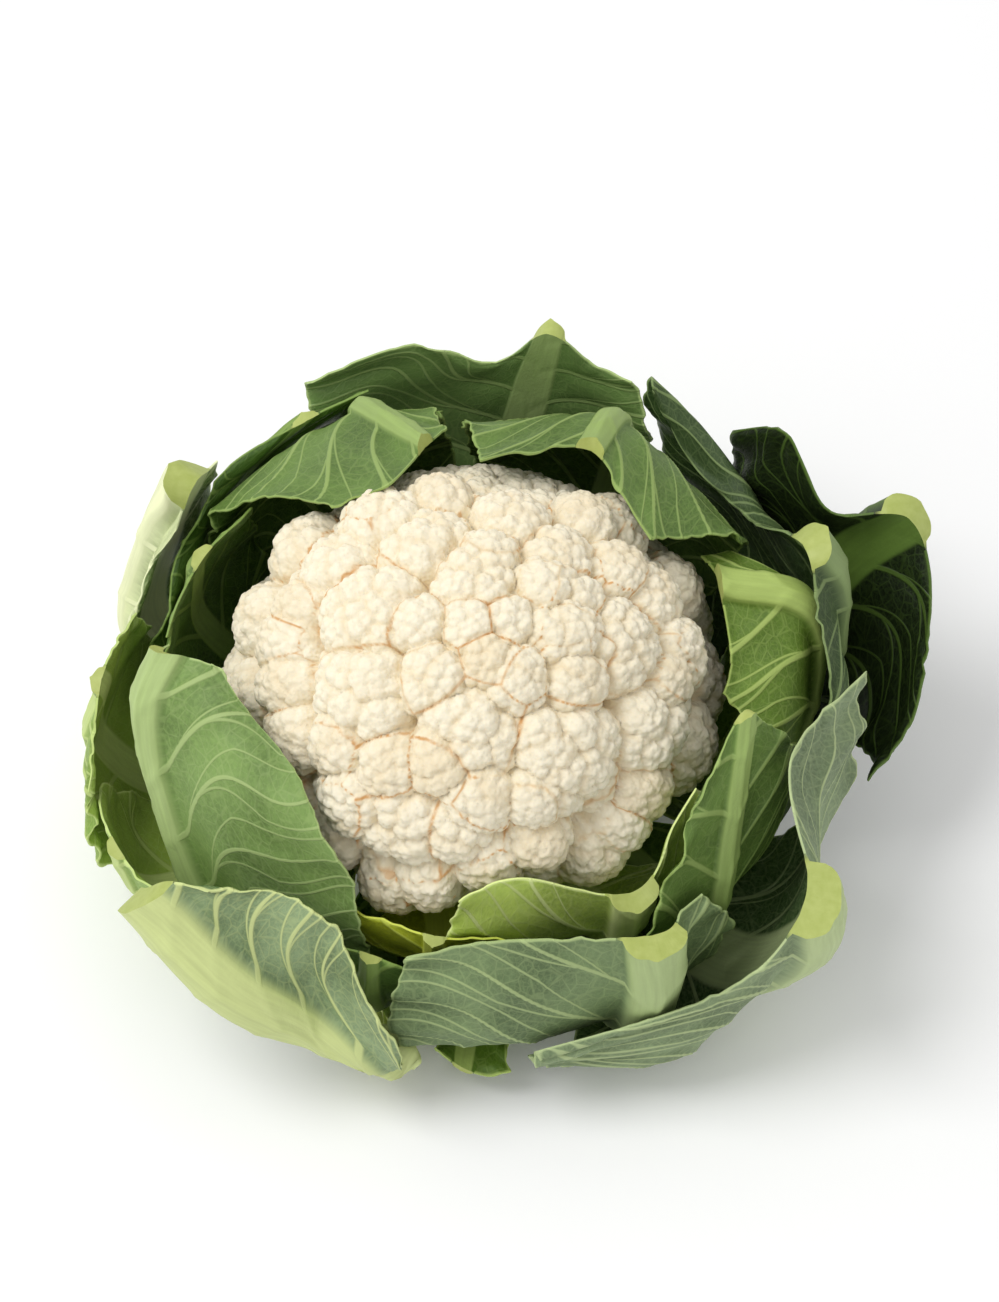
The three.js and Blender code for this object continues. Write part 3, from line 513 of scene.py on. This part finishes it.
def dome(directions):
    """Reach of the dome and its florets in each direction, the second best reach, and the floret's middle."""
    flat = np.hypot(directions[:, 0], directions[:, 1])
    best = 1 / np.hypot(flat / CURD_RADIUS, directions[:, 2] / CURD_HEIGHT_RADIUS)
    second = best - BARE_STEP
    middle = np.zeros_like(directions)
    for centre, radius in SPHERES:
        nearest = directions @ centre
        square = radius**2 - centre @ centre + nearest**2
        hit = (nearest > 0) & (square > 0)
        far = np.where(hit, nearest + np.sqrt(np.maximum(square, 0)), 0)
        wins = far > best
        second = np.where(wins, best, np.maximum(second, far))
        middle[wins] = centre
        best = np.where(wins, far, best)
    return best, second, middle


def curd_surface(azimuth, tilt):
    """Points of the curd, step beside a crease, middle of the floret, and share drawn in to the foot."""
    turn = np.radians(np.minimum(tilt, CURD_RIM_TILT))
    flat = np.radians(azimuth)
    around = np.stack([np.cos(flat), np.sin(flat)], axis=1)
    directions = np.column_stack([np.sin(turn)[:, None] * around, np.cos(turn)])
    best, second, middle = dome(directions)
    points = directions * best[:, None] + CURD_CENTRE
    inward = np.clip((tilt - CURD_RIM_TILT) / (CURD_FOOT_TILT - CURD_RIM_TILT), 0, 1)
    foot = CURD_FOOT_RADIUS * np.minimum((180 - tilt) / (180 - CURD_FOOT_TILT), 1)
    under = np.column_stack([foot[:, None] * around, np.full_like(foot, CURD_FOOT_Z)])
    points = points + (under - points) * inward[:, None]
    return points, best - second, middle + CURD_CENTRE, inward


# Meshes

def make_object(name, points, faces, attributes, material):
    mesh = bpy.data.meshes.new(name)
    mesh.vertices.add(len(points))
    mesh.vertices.foreach_set("co", (np.asarray(points) * MM).astype(np.float32).ravel())
    faces = np.asarray(faces, np.int32)
    corners = faces.shape[1]
    mesh.loops.add(faces.size)
    mesh.loops.foreach_set("vertex_index", faces.ravel())
    mesh.polygons.add(len(faces))
    mesh.polygons.foreach_set("loop_start", np.arange(0, faces.size, corners, dtype=np.int32))
    mesh.polygons.foreach_set("use_smooth", np.ones(len(faces), bool))
    mesh.update(calc_edges=True)
    for key, values in attributes.items():
        values = np.asarray(values, np.float32)
        kind = "FLOAT_VECTOR" if values.ndim == 2 else "FLOAT"
        layer = mesh.attributes.new(key, kind, "POINT")
        layer.data.foreach_set("vector" if values.ndim == 2 else "value", values.ravel())
    mesh.materials.append(material)
    piece = bpy.data.objects.new(name, mesh)
    bpy.context.scene.collection.objects.link(piece)
    return piece


def stand_in_for(piece, node):
    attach(piece, "root")
    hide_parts(node)


# Leaves

def mesh_rows(leaf):
    free = WAVE_START / (len(leaf["controls"]) - 1)
    petiole = np.linspace(0, free, PETIOLE_ROWS, endpoint=False)
    return np.concatenate([petiole, np.linspace(free, 1, BLADE_ROWS)])


def mesh_columns(leaf, v):
    """Places across the blade for each row: close together over the midrib, then even out to the margin."""
    across = np.linspace(-1, 1, MEASURE_COLUMNS)
    distances = side_distances(leaf_points(leaf, np.tile(across, (len(v), 1)), v))
    rib_steps = np.linspace(0, 1, RIB_COLUMNS + 1)[1:]
    blade_steps = np.linspace(0, 1, SIDE_COLUMNS - RIB_COLUMNS + 1)[1:]
    places = []
    for row, place in zip(distances, v):
        halves = []
        for side, end in ((-1, 0), (1, -1)):
            width = abs(row[end]) * side_share(leaf, side, place)
            edge = min(rib_half_width(leaf, place), RIB_LARGEST_SHARE * abs(row[end]))
            distance = np.concatenate([edge * rib_steps, edge + (width - edge) * blade_steps])
            halves.append(np.interp(side * distance, row, across))
        places.append(np.concatenate([halves[0][::-1], [0], halves[1]]))
    return np.array(places)


def side_share(leaf, side, v):
    """Share of the blade's width that is left where its end is rounded."""
    return 1 - leaf["round"][0 if side < 0 else 1] * smooth_step(CORNER_START, 1, v) ** 2


def leaf_fields(leaf, points, v, rng):
    """What the veins, margins and colours of a leaf are drawn from, on its grid of points."""
    s = side_distances(points)
    middle = points.shape[1] // 2
    t = np.concatenate([[0], np.cumsum(np.linalg.norm(np.diff(points[:, middle], axis=0), axis=1))])[:, None]
    steps = np.linalg.norm(np.diff(points, axis=0), axis=2)
    column_length = np.concatenate([np.zeros((1, points.shape[1])), np.cumsum(steps, axis=0)])
    to_end = column_length[-1] - column_length
    width = np.where(s < 0, np.abs(s[:, :1]), s[:, -1:])
    reach = np.abs(s)
    rib = rib_half_width(leaf, v)[:, None]
    edge = np.minimum(width - reach, np.where(reach < rib + 0.5, 99, to_end))
    rise = VEIN_SWEEP * reach - VEIN_BEND * reach**2
    side = np.where(s < 0, rng.uniform(0, 1), rng.uniform(0, 1))
    short, long, wide = WOBBLE_WAVES
    wobble = WOBBLES[0] * np.sin(reach / short + rng.uniform(0, 6) + s * 0.02)
    wobble = wobble + WOBBLES[1] * np.sin(t / long + reach / wide + side * 9)
    q = (t - rise) / VEIN_SPACING + side + wobble
    along = np.gradient(q, axis=0) / np.maximum(np.gradient(column_length, axis=0), 1e-3)
    across = np.gradient(q, axis=1) / np.maximum(np.gradient(s, axis=1), 1e-3)
    scale = np.clip(1 / np.hypot(along, across), *VEIN_SCALES)
    rim = column_length + (width - reach)
    t = np.broadcast_to(t, s.shape)
    return dict(s=s, t=t, edge=np.maximum(edge, 0), q=q, scale=scale, rim=rim, rib=rib)


def relief(fields):
    """How far the veins stand up and the blade sinks between them, and the crimp along the margin."""
    reach, rim, edge = np.abs(fields["s"]), fields["rim"], fields["edge"]
    part = fields["q"] % 1
    main = np.minimum(part, 1 - part) * fields["scale"]
    half = VEIN_WIDTH + VEIN_GAIN * np.exp(-reach / VEIN_TAPER)
    ridge = np.exp(-(main / half) ** 2)
    for share, rise, (start, span, end) in zip((part, 1 - part), FORK_RISES, VEIN_FORKS):
        away = np.abs(share - np.clip((reach - start) / span, 0, end)) * fields["scale"]
        ridge = ridge + rise * (reach > start) * np.exp(-(away / FORK_WIDTH) ** 2)
    ridge = np.minimum(ridge, 1)
    blade = smooth_step(0, 5, reach - fields["rib"]) * smooth_step(0, 3, edge)
    quilt = (1 - np.exp(-(main / QUILT_WIDTH) ** 2)) * blade
    near = np.exp(-edge / CRIMP_REACH) * smooth_step(1, 8, reach - fields["rib"])
    swell = 0.5 + 0.5 * np.sin(rim / SWELL_WAVES[0] + 2 * np.sin(rim / SWELL_WAVES[1]))
    crimp = near * swell * (np.sin(rim / CRIMP_WAVES[0]) + 0.7 * np.sin(rim / CRIMP_WAVES[1] + 1.0))
    return ridge * smooth_step(0, 1, edge), quilt, crimp


def leaf_sheets(leaf, index, inner, fields, v):
    """Points of the inner and the outer face, with their relief."""
    ridge, quilt, crimp = relief(fields)
    normals = grid_normals(inner)
    free = smooth_step(*RELIEF_FADE, v)[:, None]
    across, along = BULGE_WAVES
    bulge = np.sin(fields["s"] / across + 2 * index) * np.sin(fields["t"] / along + index)
    bulge = BULGE_HEIGHT * bulge * smooth_step(0, 12, np.abs(fields["s"]) - fields["rib"])
    shift = (bulge - QUILT_DEPTH * quilt + CRIMP_HEIGHT * crimp) * free
    first, second, third = (fields["rim"] / length for length in TOOTH_WAVES)
    ragged = np.sin(first) * np.sin(second + index) + 0.6 * np.sin(third)
    teeth = TOOTH_LENGTH * np.exp(-fields["edge"] / TOOTH_REACH) * ragged * free
    steps = np.concatenate([inner[:, 1:] - inner[:, :-1], inner[:, -1:] - inner[:, -2:-1]], axis=1)
    outward = np.sign(fields["s"])[..., None] * steps
    outward /= np.maximum(np.linalg.norm(outward, axis=2, keepdims=True), 1e-6)
    depth = thickness(leaf, fields["s"], v[:, None])
    strips = STRIP_DEPTH * np.cos(fields["s"] * 2 * math.pi / STRIP_WIDTH)
    strips = strips * (1 - fields["share"]) * (depth > 2)
    thin = BLADE_THICKNESS * MARGIN_THINNING * np.exp(-fields["edge"] / THINNING_REACH)
    base = inner + normals * shift[..., None] + outward * teeth[..., None]
    under = base + normals * (INNER_VEIN_RISE * ridge + thin / 2)[..., None]
    over = base + normals * (depth - thin / 2 + strips + OUTER_VEIN_RISE * ridge)[..., None]
    return under, over


def leaf_faces(rows, columns):
    """Faces of a leaf: both sides and both long edges, then the two ends, which have points of their own."""
    number = np.arange(rows * columns).reshape(rows, columns)
    a, b, c, d = number[:-1, :-1], number[:-1, 1:], number[1:, 1:], number[1:, :-1]
    skin = np.stack([a, b, c, d], axis=-1).reshape(-1, 4)
    top = number + rows * columns
    end_inner = 2 * rows * columns + np.arange(columns)
    end_outer = end_inner + columns
    start_inner = end_outer + columns
    start_outer = start_inner + columns
    strips = [
        (number[:-1, 0], top[:-1, 0], top[1:, 0], number[1:, 0]),
        (top[:-1, -1], number[:-1, -1], number[1:, -1], top[1:, -1]),
        (end_outer[:-1], end_outer[1:], end_inner[1:], end_inner[:-1]),
        (start_outer[1:], start_inner[1:], start_inner[:-1], start_outer[:-1]),
    ]
    strips = [np.stack(corners, axis=-1) for corners in strips]
    return np.concatenate([skin[:, ::-1], skin + rows * columns, *strips])


def leaf_piece(leaf, index):
    rng = np.random.default_rng(LEAF_SEED + index)
    v = mesh_rows(leaf)
    u = mesh_columns(leaf, v)
    inner = leaf_points(leaf, u, v)
    fields = leaf_fields(leaf, inner, v, rng)
    fields["share"] = np.minimum(np.abs(fields["s"]) / fields["rib"], 1)
    under, over = leaf_sheets(leaf, index, inner, fields, v)
    sides = [under.reshape(-1, 3), over.reshape(-1, 3)]
    points = np.concatenate([*sides, under[-1], over[-1], under[0], over[0]])
    rows, columns = u.shape

    def spread(values):
        values = np.broadcast_to(values, (rows, columns))
        ends = np.concatenate([values[-1], values[-1], values[0], values[0]])
        return np.concatenate([values.ravel(), values.ravel(), ends])

    blank = np.zeros(rows * columns)
    low, high = np.zeros(columns), np.ones(columns)
    ribbed = np.abs(fields["s"][-1]) < fields["rib"][-1] * 1.02
    cut = np.concatenate([blank, blank, ribbed, ribbed, high, high])
    outer = np.concatenate([blank, blank + 1, low, high, low, high])
    plane = np.stack([spread(fields["s"]), spread(fields["t"]), spread(index * NOISE_STEP)], axis=1)
    attributes = dict(
        plane=plane, vein=spread(fields["q"]), vein_scale=spread(fields["scale"]),
        edge=spread(fields["edge"]), rib=spread(fields["share"]), cut=cut, outer=outer)
    faces = leaf_faces(rows, columns)
    piece = make_object(leaf["name"] + "_look", points, faces, attributes, leaf_material(leaf))
    stand_in_for(piece, leaf["name"])


# Node helpers

def linear(color, factor=1):
    """The sRGB triple, made lighter or darker by the factor, as a linear colour with alpha."""
    values = [min(c * factor, 1) for c in color]
    return [c / 12.92 if c <= 0.04045 else ((c + 0.055) / 1.055) ** 2.4 for c in values] + [1.0]


class Tree:
    """Shader nodes of one material."""

    def __init__(self, name):
        self.material = bpy.data.materials.new(name)
        self.material.use_nodes = True
        self.tree = self.material.node_tree
        self.shader = self.tree.nodes["Principled BSDF"]

    def put(self, socket, value):
        if isinstance(value, bpy.types.NodeSocket):
            self.tree.links.new(value, socket)
        else:
            socket.default_value = value

    def set(self, **values):
        for name, value in values.items():
            self.shader.inputs[name.replace("_", " ")].default_value = value

    def math(self, operation, a, b=0.0):
        node = self.tree.nodes.new("ShaderNodeMath")
        node.operation = operation
        for socket, value in zip(node.inputs, (a, b)):
            self.put(socket, value)
        return node.outputs[0]

    def span(self, value, low, high, out_low=0.0, out_high=1.0, smooth=True):
        node = self.tree.nodes.new("ShaderNodeMapRange")
        node.interpolation_type = "SMOOTHSTEP" if smooth else "LINEAR"
        for socket, item in zip(node.inputs, (value, low, high, out_low, out_high)):
            self.put(socket, item)
        return node.outputs[0]

    def mix(self, share, a, b):
        node = self.tree.nodes.new("ShaderNodeMix")
        node.data_type = "RGBA"
        self.put(node.inputs[0], share)
        self.put(node.inputs[6], a)
        self.put(node.inputs[7], b)
        return node.outputs[2]

    def attribute(self, name, output="Fac"):
        node = self.tree.nodes.new("ShaderNodeAttribute")
        node.attribute_name = name
        return node.outputs[output]

    def noise(self, vector, scale, detail):
        node = self.tree.nodes.new("ShaderNodeTexNoise")
        self.put(node.inputs["Vector"], vector)
        node.inputs["Scale"].default_value = scale
        node.inputs["Detail"].default_value = detail
        return node.outputs["Fac"]

    def cells(self, vector, scale, feature="DISTANCE_TO_EDGE"):
        node = self.tree.nodes.new("ShaderNodeTexVoronoi")
        node.feature = feature
        self.put(node.inputs["Vector"], vector)
        node.inputs["Scale"].default_value = scale
        return node.outputs["Distance"]

    def stretched(self, vector, scale):
        node = self.tree.nodes.new("ShaderNodeMapping")
        self.put(node.inputs["Vector"], vector)
        node.inputs["Scale"].default_value = scale
        return node.outputs[0]

    def bump(self, height, strength, distance):
        node = self.tree.nodes.new("ShaderNodeBump")
        node.inputs["Strength"].default_value = strength
        node.inputs["Distance"].default_value = distance
        self.put(node.inputs["Height"], height)
        return node.outputs[0]

    def place(self):
        return self.tree.nodes.new("ShaderNodeTexCoord").outputs["Object"]


def leaf_material(leaf):
    tree = Tree(leaf["name"] + "_finish")
    inner, outer, vein = leaf["look"]
    plane = tree.attribute("plane", "Vector")
    split = tree.tree.nodes.new("ShaderNodeSeparateXYZ")
    tree.put(split.inputs[0], plane)
    reach = tree.math("ABSOLUTE", split.outputs[0])
    scale = tree.attribute("vein_scale")
    part = tree.math("FRACT", tree.attribute("vein"))
    rest = tree.math("SUBTRACT", 1.0, part)
    half = tree.span(reach, 0, 70, 1.0, 0.34, smooth=False)
    main = tree.math("MULTIPLY", tree.math("MINIMUM", part, rest), scale)
    veins = tree.span(tree.math("DIVIDE", main, half), 0.45, 1.1, 1, 0)

    def branch(share, start, length, most):
        lift = tree.span(reach, start, start + length * most, 0, most, smooth=False)
        away = tree.math("MULTIPLY", tree.math("ABSOLUTE", tree.math("SUBTRACT", share, lift)), scale)
        line = tree.span(away, 0.16, 0.52, 0.85, 0)
        return tree.math("MULTIPLY", line, tree.span(reach, start, start + 2, 0, 1))

    veins = tree.math("MAXIMUM", veins, branch(part, *VEIN_FORKS[0]))
    veins = tree.math("MAXIMUM", veins, branch(rest, *VEIN_FORKS[1]))
    net = tree.span(tree.cells(plane, 0.23), 0.02, 0.07, 0.24, 0)
    fine = tree.span(tree.cells(plane, 0.62), 0.03, 0.12, 0.12, 0)
    veins = tree.math("MAXIMUM", veins, tree.math("MAXIMUM", net, fine))
    ribbed = tree.span(tree.attribute("rib"), 0.78, 1.0, 1, 0)
    veins = tree.math("MAXIMUM", veins, ribbed)

    outside = tree.attribute("outer")
    blade = tree.mix(outside, linear(inner), linear(outer))
    patches = tree.noise(plane, 0.045, 4)
    blade = tree.mix(tree.span(patches, 0.35, 0.7, 0, 0.55), blade, linear(inner, 0.72))
    grain = tree.noise(plane, 0.9, 4)
    blade = tree.mix(tree.span(grain, 0.3, 0.75, 0, 0.25), blade, linear(outer, 1.25))
    strength = tree.span(outside, 0, 1, 0.62, 0.85, smooth=False)
    color = tree.mix(tree.math("MULTIPLY", veins, strength), blade, linear(vein))
    stripes = tree.noise(tree.stretched(plane, (1.0, 0.06, 1.0)), 0.9, 3)
    rib_color = tree.mix(stripes, linear(vein, 0.88), linear(vein, 1.12))
    color = tree.mix(tree.math("MULTIPLY", ribbed, 0.8), color, rib_color)
    margin = tree.span(tree.attribute("edge"), 0.15, 0.9, 0.75, 0)
    color = tree.mix(margin, color, linear(vein, 1.1))
    pith = tree.noise(tree.place(), 420, 3)
    sap = tree.mix(pith, linear(SAPS[0]), linear(SAPS[1]))
    color = tree.mix(tree.attribute("cut"), color, sap)
    tree.put(tree.shader.inputs["Base Color"], color)
    tree.put(tree.shader.inputs["Roughness"], tree.span(outside, 0, 1, 0.45, 0.58, smooth=False))
    tree.set(Specular_IOR_Level=0.35)
    height = tree.math("ADD", tree.math("MULTIPLY", veins, 0.5), tree.math("MULTIPLY", grain, 0.25))
    tree.put(tree.shader.inputs["Normal"], tree.bump(height, 0.55, 0.0008))
    return tree.material


# The curd

def geodesic_directions(frequency):
    """Corner directions and faces of an icosahedron whose faces are each split into frequency squared."""
    golden = (1 + math.sqrt(5)) / 2
    corners = []
    for x, y in ((-1, golden), (1, golden), (-1, -golden), (1, -golden)):
        corners += [(x, y, 0), (0, x, y), (y, 0, x)]
    corners = np.array(corners, float)
    corners /= np.linalg.norm(corners[0])
    side = np.min([np.linalg.norm(corners[0] - c) for c in corners[1:]])
    triples = []
    for i in range(12):
        for j in range(i + 1, 12):
            for k in range(j + 1, 12):
                lengths = [np.linalg.norm(corners[m] - corners[n]) for m, n in ((i, j), (j, k), (i, k))]
                if max(lengths) < side * 1.1:
                    turn = np.dot(np.cross(corners[j] - corners[i], corners[k] - corners[i]), corners[i])
                    triples.append((i, j, k) if turn > 0 else (i, k, j))
    steps = [(i, j) for i in range(frequency + 1) for j in range(frequency + 1 - i)]
    number = {step: place for place, step in enumerate(steps)}
    shares = np.array([(frequency - i - j, i, j) for i, j in steps], float) / frequency
    small = []
    for i, j in steps:
        if i + j < frequency:
            small.append((number[i, j], number[i + 1, j], number[i, j + 1]))
        if i + j < frequency - 1:
            small.append((number[i + 1, j], number[i + 1, j + 1], number[i, j + 1]))
    small = np.array(small)
    points = np.concatenate([shares @ corners[list(triple)] for triple in triples])
    faces = np.concatenate([small + place * len(steps) for place in range(len(triples))])
    rounded = np.round(points * 1e6).astype(np.int64)
    _, first, same = np.unique(rounded, axis=0, return_index=True, return_inverse=True)
    points = points[first]
    return points / np.linalg.norm(points, axis=1, keepdims=True), same.ravel()[faces]


def scattered(points, spacing, rng):
    """Places of a choice of the points that lie at least the spacing apart."""
    taken = {}
    chosen = []
    cells = np.floor(points / spacing).astype(int)
    around = [(i, j, k) for i in (-1, 0, 1) for j in (-1, 0, 1) for k in (-1, 0, 1)]
    for place in rng.permutation(len(points)):
        x, y, z = cells[place]
        point = points[place]
        near = (taken.get((x + i, y + j, z + k), ()) for i, j, k in around)
        if all(np.dot(point - other, point - other) >= spacing**2 for group in near for other in group):
            taken.setdefault((x, y, z), []).append(point)
            chosen.append(place)
    return np.array(chosen)


def grow_lumps(points, outward, spacing, radius, rise, rng):
    """Round lumps that cover a surface: new points and outward directions, and the step beside a crease."""
    roots = scattered(points, spacing, rng)
    sizes = radius * rng.uniform(*LUMP_SIZES, len(roots))
    centres = points[roots] - outward[roots] * (sizes - rise)[:, None]
    tree = kdtree.KDTree(len(centres))
    for place, centre in enumerate(centres):
        tree.insert(centre, place)
    tree.balance()
    near = np.array([[hit[1] for hit in tree.find_n(point, LUMP_NEIGHBOURS)] for point in points])
    length = np.linalg.norm(points, axis=1)
    rays = points / length[:, None]
    middle = centres[near]
    nearest = np.einsum("nx,nkx->nk", rays, middle)
    square = sizes[near] ** 2 - np.einsum("nkx,nkx->nk", middle, middle) + nearest**2
    far = np.where(square > 0, nearest + np.sqrt(np.maximum(square, 0)), 0)
    order = np.argsort(far, axis=1)
    lines = np.arange(len(points))
    best = far[lines, order[:, -1]]
    second = far[lines, order[:, -2]]
    floor = length - radius * LUMP_FLOOR
    grown = rays * np.maximum(best, floor)[:, None]
    facing = grown - middle[lines, order[:, -1]]
    facing = np.where((best > floor)[:, None], facing, outward)
    facing /= np.linalg.norm(facing, axis=1, keepdims=True)
    return grown, facing, np.maximum(best, floor) - np.maximum(second, floor)


def curd_piece():
    rng = np.random.default_rng(CURD_SEED)
    directions, faces = geodesic_directions(CURD_FREQUENCY)
    azimuth = np.degrees(np.arctan2(directions[:, 1], directions[:, 0]))
    tilt = np.degrees(np.arccos(np.clip(directions[:, 2], -1, 1)))
    dense = CURD_RIM_TILT / CURD_DENSE_TILT
    under = CURD_RIM_TILT + (tilt - CURD_DENSE_TILT) * (180 - CURD_RIM_TILT) / (180 - CURD_DENSE_TILT)
    tilt = np.where(tilt < CURD_DENSE_TILT, tilt * dense, under)
    plain, gap, middle, inward = curd_surface(azimuth, tilt)
    outward = plain - middle
    outward /= np.linalg.norm(outward, axis=1, keepdims=True)
    points = plain - CURD_CENTRE
    steps = []
    for spacing, radius, rise in LUMP_LEVELS:
        points, outward, step = grow_lumps(points, outward, spacing, radius, rise, rng)
        steps.append(step)
    lumpy = 1 - smooth_step(0.1, 0.5, inward)
    points = plain + (points + CURD_CENTRE - plain) * lumpy[:, None]
    attributes = dict(
        crease=np.exp(-gap / FLORET_CREASE), lobe=np.exp(-steps[0] / LOBE_CREASE),
        bud=np.exp(-steps[1] / BUD_CREASE), stalk=smooth_step(0.05, 0.5, inward))
    piece = make_object("curd_look", points, faces, attributes, curd_material())
    stand_in_for(piece, "curd")


def curd_material():
    tree = Tree("curd_finish")
    place = tree.place()
    tone = tree.noise(place, 38, 3)
    cream = tree.mix(tone, linear(CREAMS[0]), linear(CREAMS[1]))
    deep = tree.attribute("crease")
    lobe = tree.attribute("lobe")
    warm_spots = tree.span(tree.noise(place, 60, 2), 0.36, 0.60, 0.15, 1)
    # Painted shade: darker tan where florets and lumps meet, partly the curd's warm tint there
    crease_shade = tree.math("MULTIPLY", tree.math("MAXIMUM", deep, tree.math("MULTIPLY", lobe, 0.6)), 0.5)
    color = tree.mix(crease_shade, cream, linear(CREASE_SHADE))
    rust = tree.math("MULTIPLY", tree.span(deep, 0.35, 0.9), tree.math("MULTIPLY", warm_spots, 0.8))
    color = tree.mix(rust, color, linear(RUST))
    # Painted shade: darker cream in the small creases between the smallest lumps
    bud_shade = tree.math("MULTIPLY", tree.attribute("bud"), 0.22)
    color = tree.mix(bud_shade, color, linear(BUD_SHADE))
    color = tree.mix(tree.attribute("stalk"), color, linear(STALK))
    tree.put(tree.shader.inputs["Base Color"], color)
    tree.set(Roughness=0.62, Specular_IOR_Level=0.25)
    tree.set(Subsurface_Weight=0.12, Subsurface_Scale=0.004, Subsurface_Radius=(1.0, 0.85, 0.6))
    beads = tree.cells(place, 850, "SMOOTH_F1")
    tree.put(tree.shader.inputs["Normal"], tree.bump(tree.math("SUBTRACT", 1.0, beads), 0.55, 0.0007))
    return tree.material


# The stem

def stem_piece():
    wall = [(STEM_RADIUS - inset, height) for inset, height in STEM_OUTLINE]
    profile = [(0, 0), *wall, (CURD_FOOT_RADIUS, STEM_TOP_Z), (0, STEM_TOP_Z)]
    places = spline_matrix(len(profile), np.linspace(0, len(profile) - 1, STEM_RINGS))
    ring = np.maximum(places @ np.array(profile, float), 0)
    turn = np.linspace(0, 2 * math.pi, STEM_SIDES, endpoint=False)
    radius, height = ring[1:-1, 0], np.clip(ring[1:-1, 1], 0, STEM_TOP_Z)
    height = height[:, None]
    fluted = STEM_FLUTE_DEPTH * smooth_step(2, 5, height)
    swell = fluted * np.sin(turn * STEM_FLUTES + STEM_FLUTE_TWIST * height)
    radius = radius[:, None] + swell - fluted
    height = np.broadcast_to(height, radius.shape)
    points = np.stack([radius * np.cos(turn), radius * np.sin(turn), height], axis=-1)
    number = np.arange(radius.size).reshape(radius.shape)
    after = np.roll(number, -1, axis=1)
    faces = [np.stack([number[:-1], after[:-1], after[1:]], axis=-1).reshape(-1, 3)]
    faces.append(np.stack([number[:-1], after[1:], number[1:]], axis=-1).reshape(-1, 3))
    low, high = radius.size, radius.size + 1
    faces.append(np.stack([after[0], number[0], np.full(STEM_SIDES, low)], axis=-1))
    faces.append(np.stack([number[-1], after[-1], np.full(STEM_SIDES, high)], axis=-1))
    points = np.concatenate([points.reshape(-1, 3), [[0, 0, 0], [0, 0, STEM_TOP_Z]]])
    piece = make_object("stem_look", points, np.concatenate(faces), {}, stem_material())
    stand_in_for(piece, "stem")


def stem_material():
    tree = Tree("stem_finish")
    fibre = tree.noise(tree.stretched(tree.place(), (1, 1, 0.12)), 260, 4)
    color = tree.mix(fibre, linear(STUMPS[0]), linear(STUMPS[1]))
    tree.put(tree.shader.inputs["Base Color"], color)
    tree.set(Roughness=0.5)
    tree.put(tree.shader.inputs["Normal"], tree.bump(fibre, 0.4, 0.0006))
    return tree.material


# Floor, light and camera

def build_floor():
    corners = ((-1, -1, 0), (1, -1, 0), (1, 1, 0), (-1, 1, 0))
    points = np.array(corners) * FLOOR_REACH / MM
    tree = Tree("floor_finish")
    tone = tree.noise(tree.place(), 3.0, 2)
    white = tree.mix(tone, (0.97, 0.97, 0.97, 1), (0.98, 0.98, 0.98, 1))
    tree.put(tree.shader.inputs["Base Color"], white)
    tree.set(Roughness=0.9, Specular_IOR_Level=0.1)
    floor = make_object("floor", points, [(0, 1, 2, 3)], {}, tree.material)


def build_light():
    world = bpy.data.worlds.new("studio")
    world.use_nodes = True
    background = world.node_tree.nodes["Background"]
    background.inputs["Color"].default_value = (1, 1, 1, 1)
    background.inputs["Strength"].default_value = WORLD_STRENGTH
    bpy.context.scene.world = world
    data = bpy.data.lights.new("key", "AREA")
    data.shape = "DISK"
    data.size = KEY_SIZE
    data.energy = KEY_POWER
    lamp = bpy.data.objects.new("key", data)
    lamp.location = KEY_PLACE
    lamp.rotation_euler = (KEY_AIM - KEY_PLACE).to_track_quat("-Z", "Y").to_euler()
    bpy.context.scene.collection.objects.link(lamp)
    bpy.context.scene.view_settings.view_transform = "Standard"


def build_camera():
    data = bpy.data.cameras.new("camera")
    data.lens = CAMERA_LENS_MM
    data.sensor_width = CAMERA_SENSOR_MM
    camera = bpy.data.objects.new("camera", data)
    back = Vector((0, -math.cos(CAMERA_ELEVATION), math.sin(CAMERA_ELEVATION)))
    camera.location = CAMERA_AIM + back * CAMERA_DISTANCE
    camera.rotation_euler = (-back).to_track_quat("-Z", "Y").to_euler()
    bpy.context.scene.collection.objects.link(camera)
    bpy.context.scene.camera = camera


def build_head():
    """Lays the leaves round the curd from the heart outward, and makes every piece."""
    reach = np.zeros((MAP_ROWS, MAP_COLUMNS))
    azimuth, tilt = np.meshgrid(np.arange(360.0), np.arange(1.0, 180.0))
    raise_map(reach, curd_surface(azimuth.ravel(), tilt.ravel())[0])
    for index, leaf in enumerate(LEAVES):
        leaf["phase"] = PHASE_STEP * index
        leaf["controls"] = control_rows(leaf)
        lay_leaf(leaf, reach)
        leaf_piece(leaf, index)
    curd_piece()
    stem_piece()


build_head()
build_floor()
build_light()
build_camera()
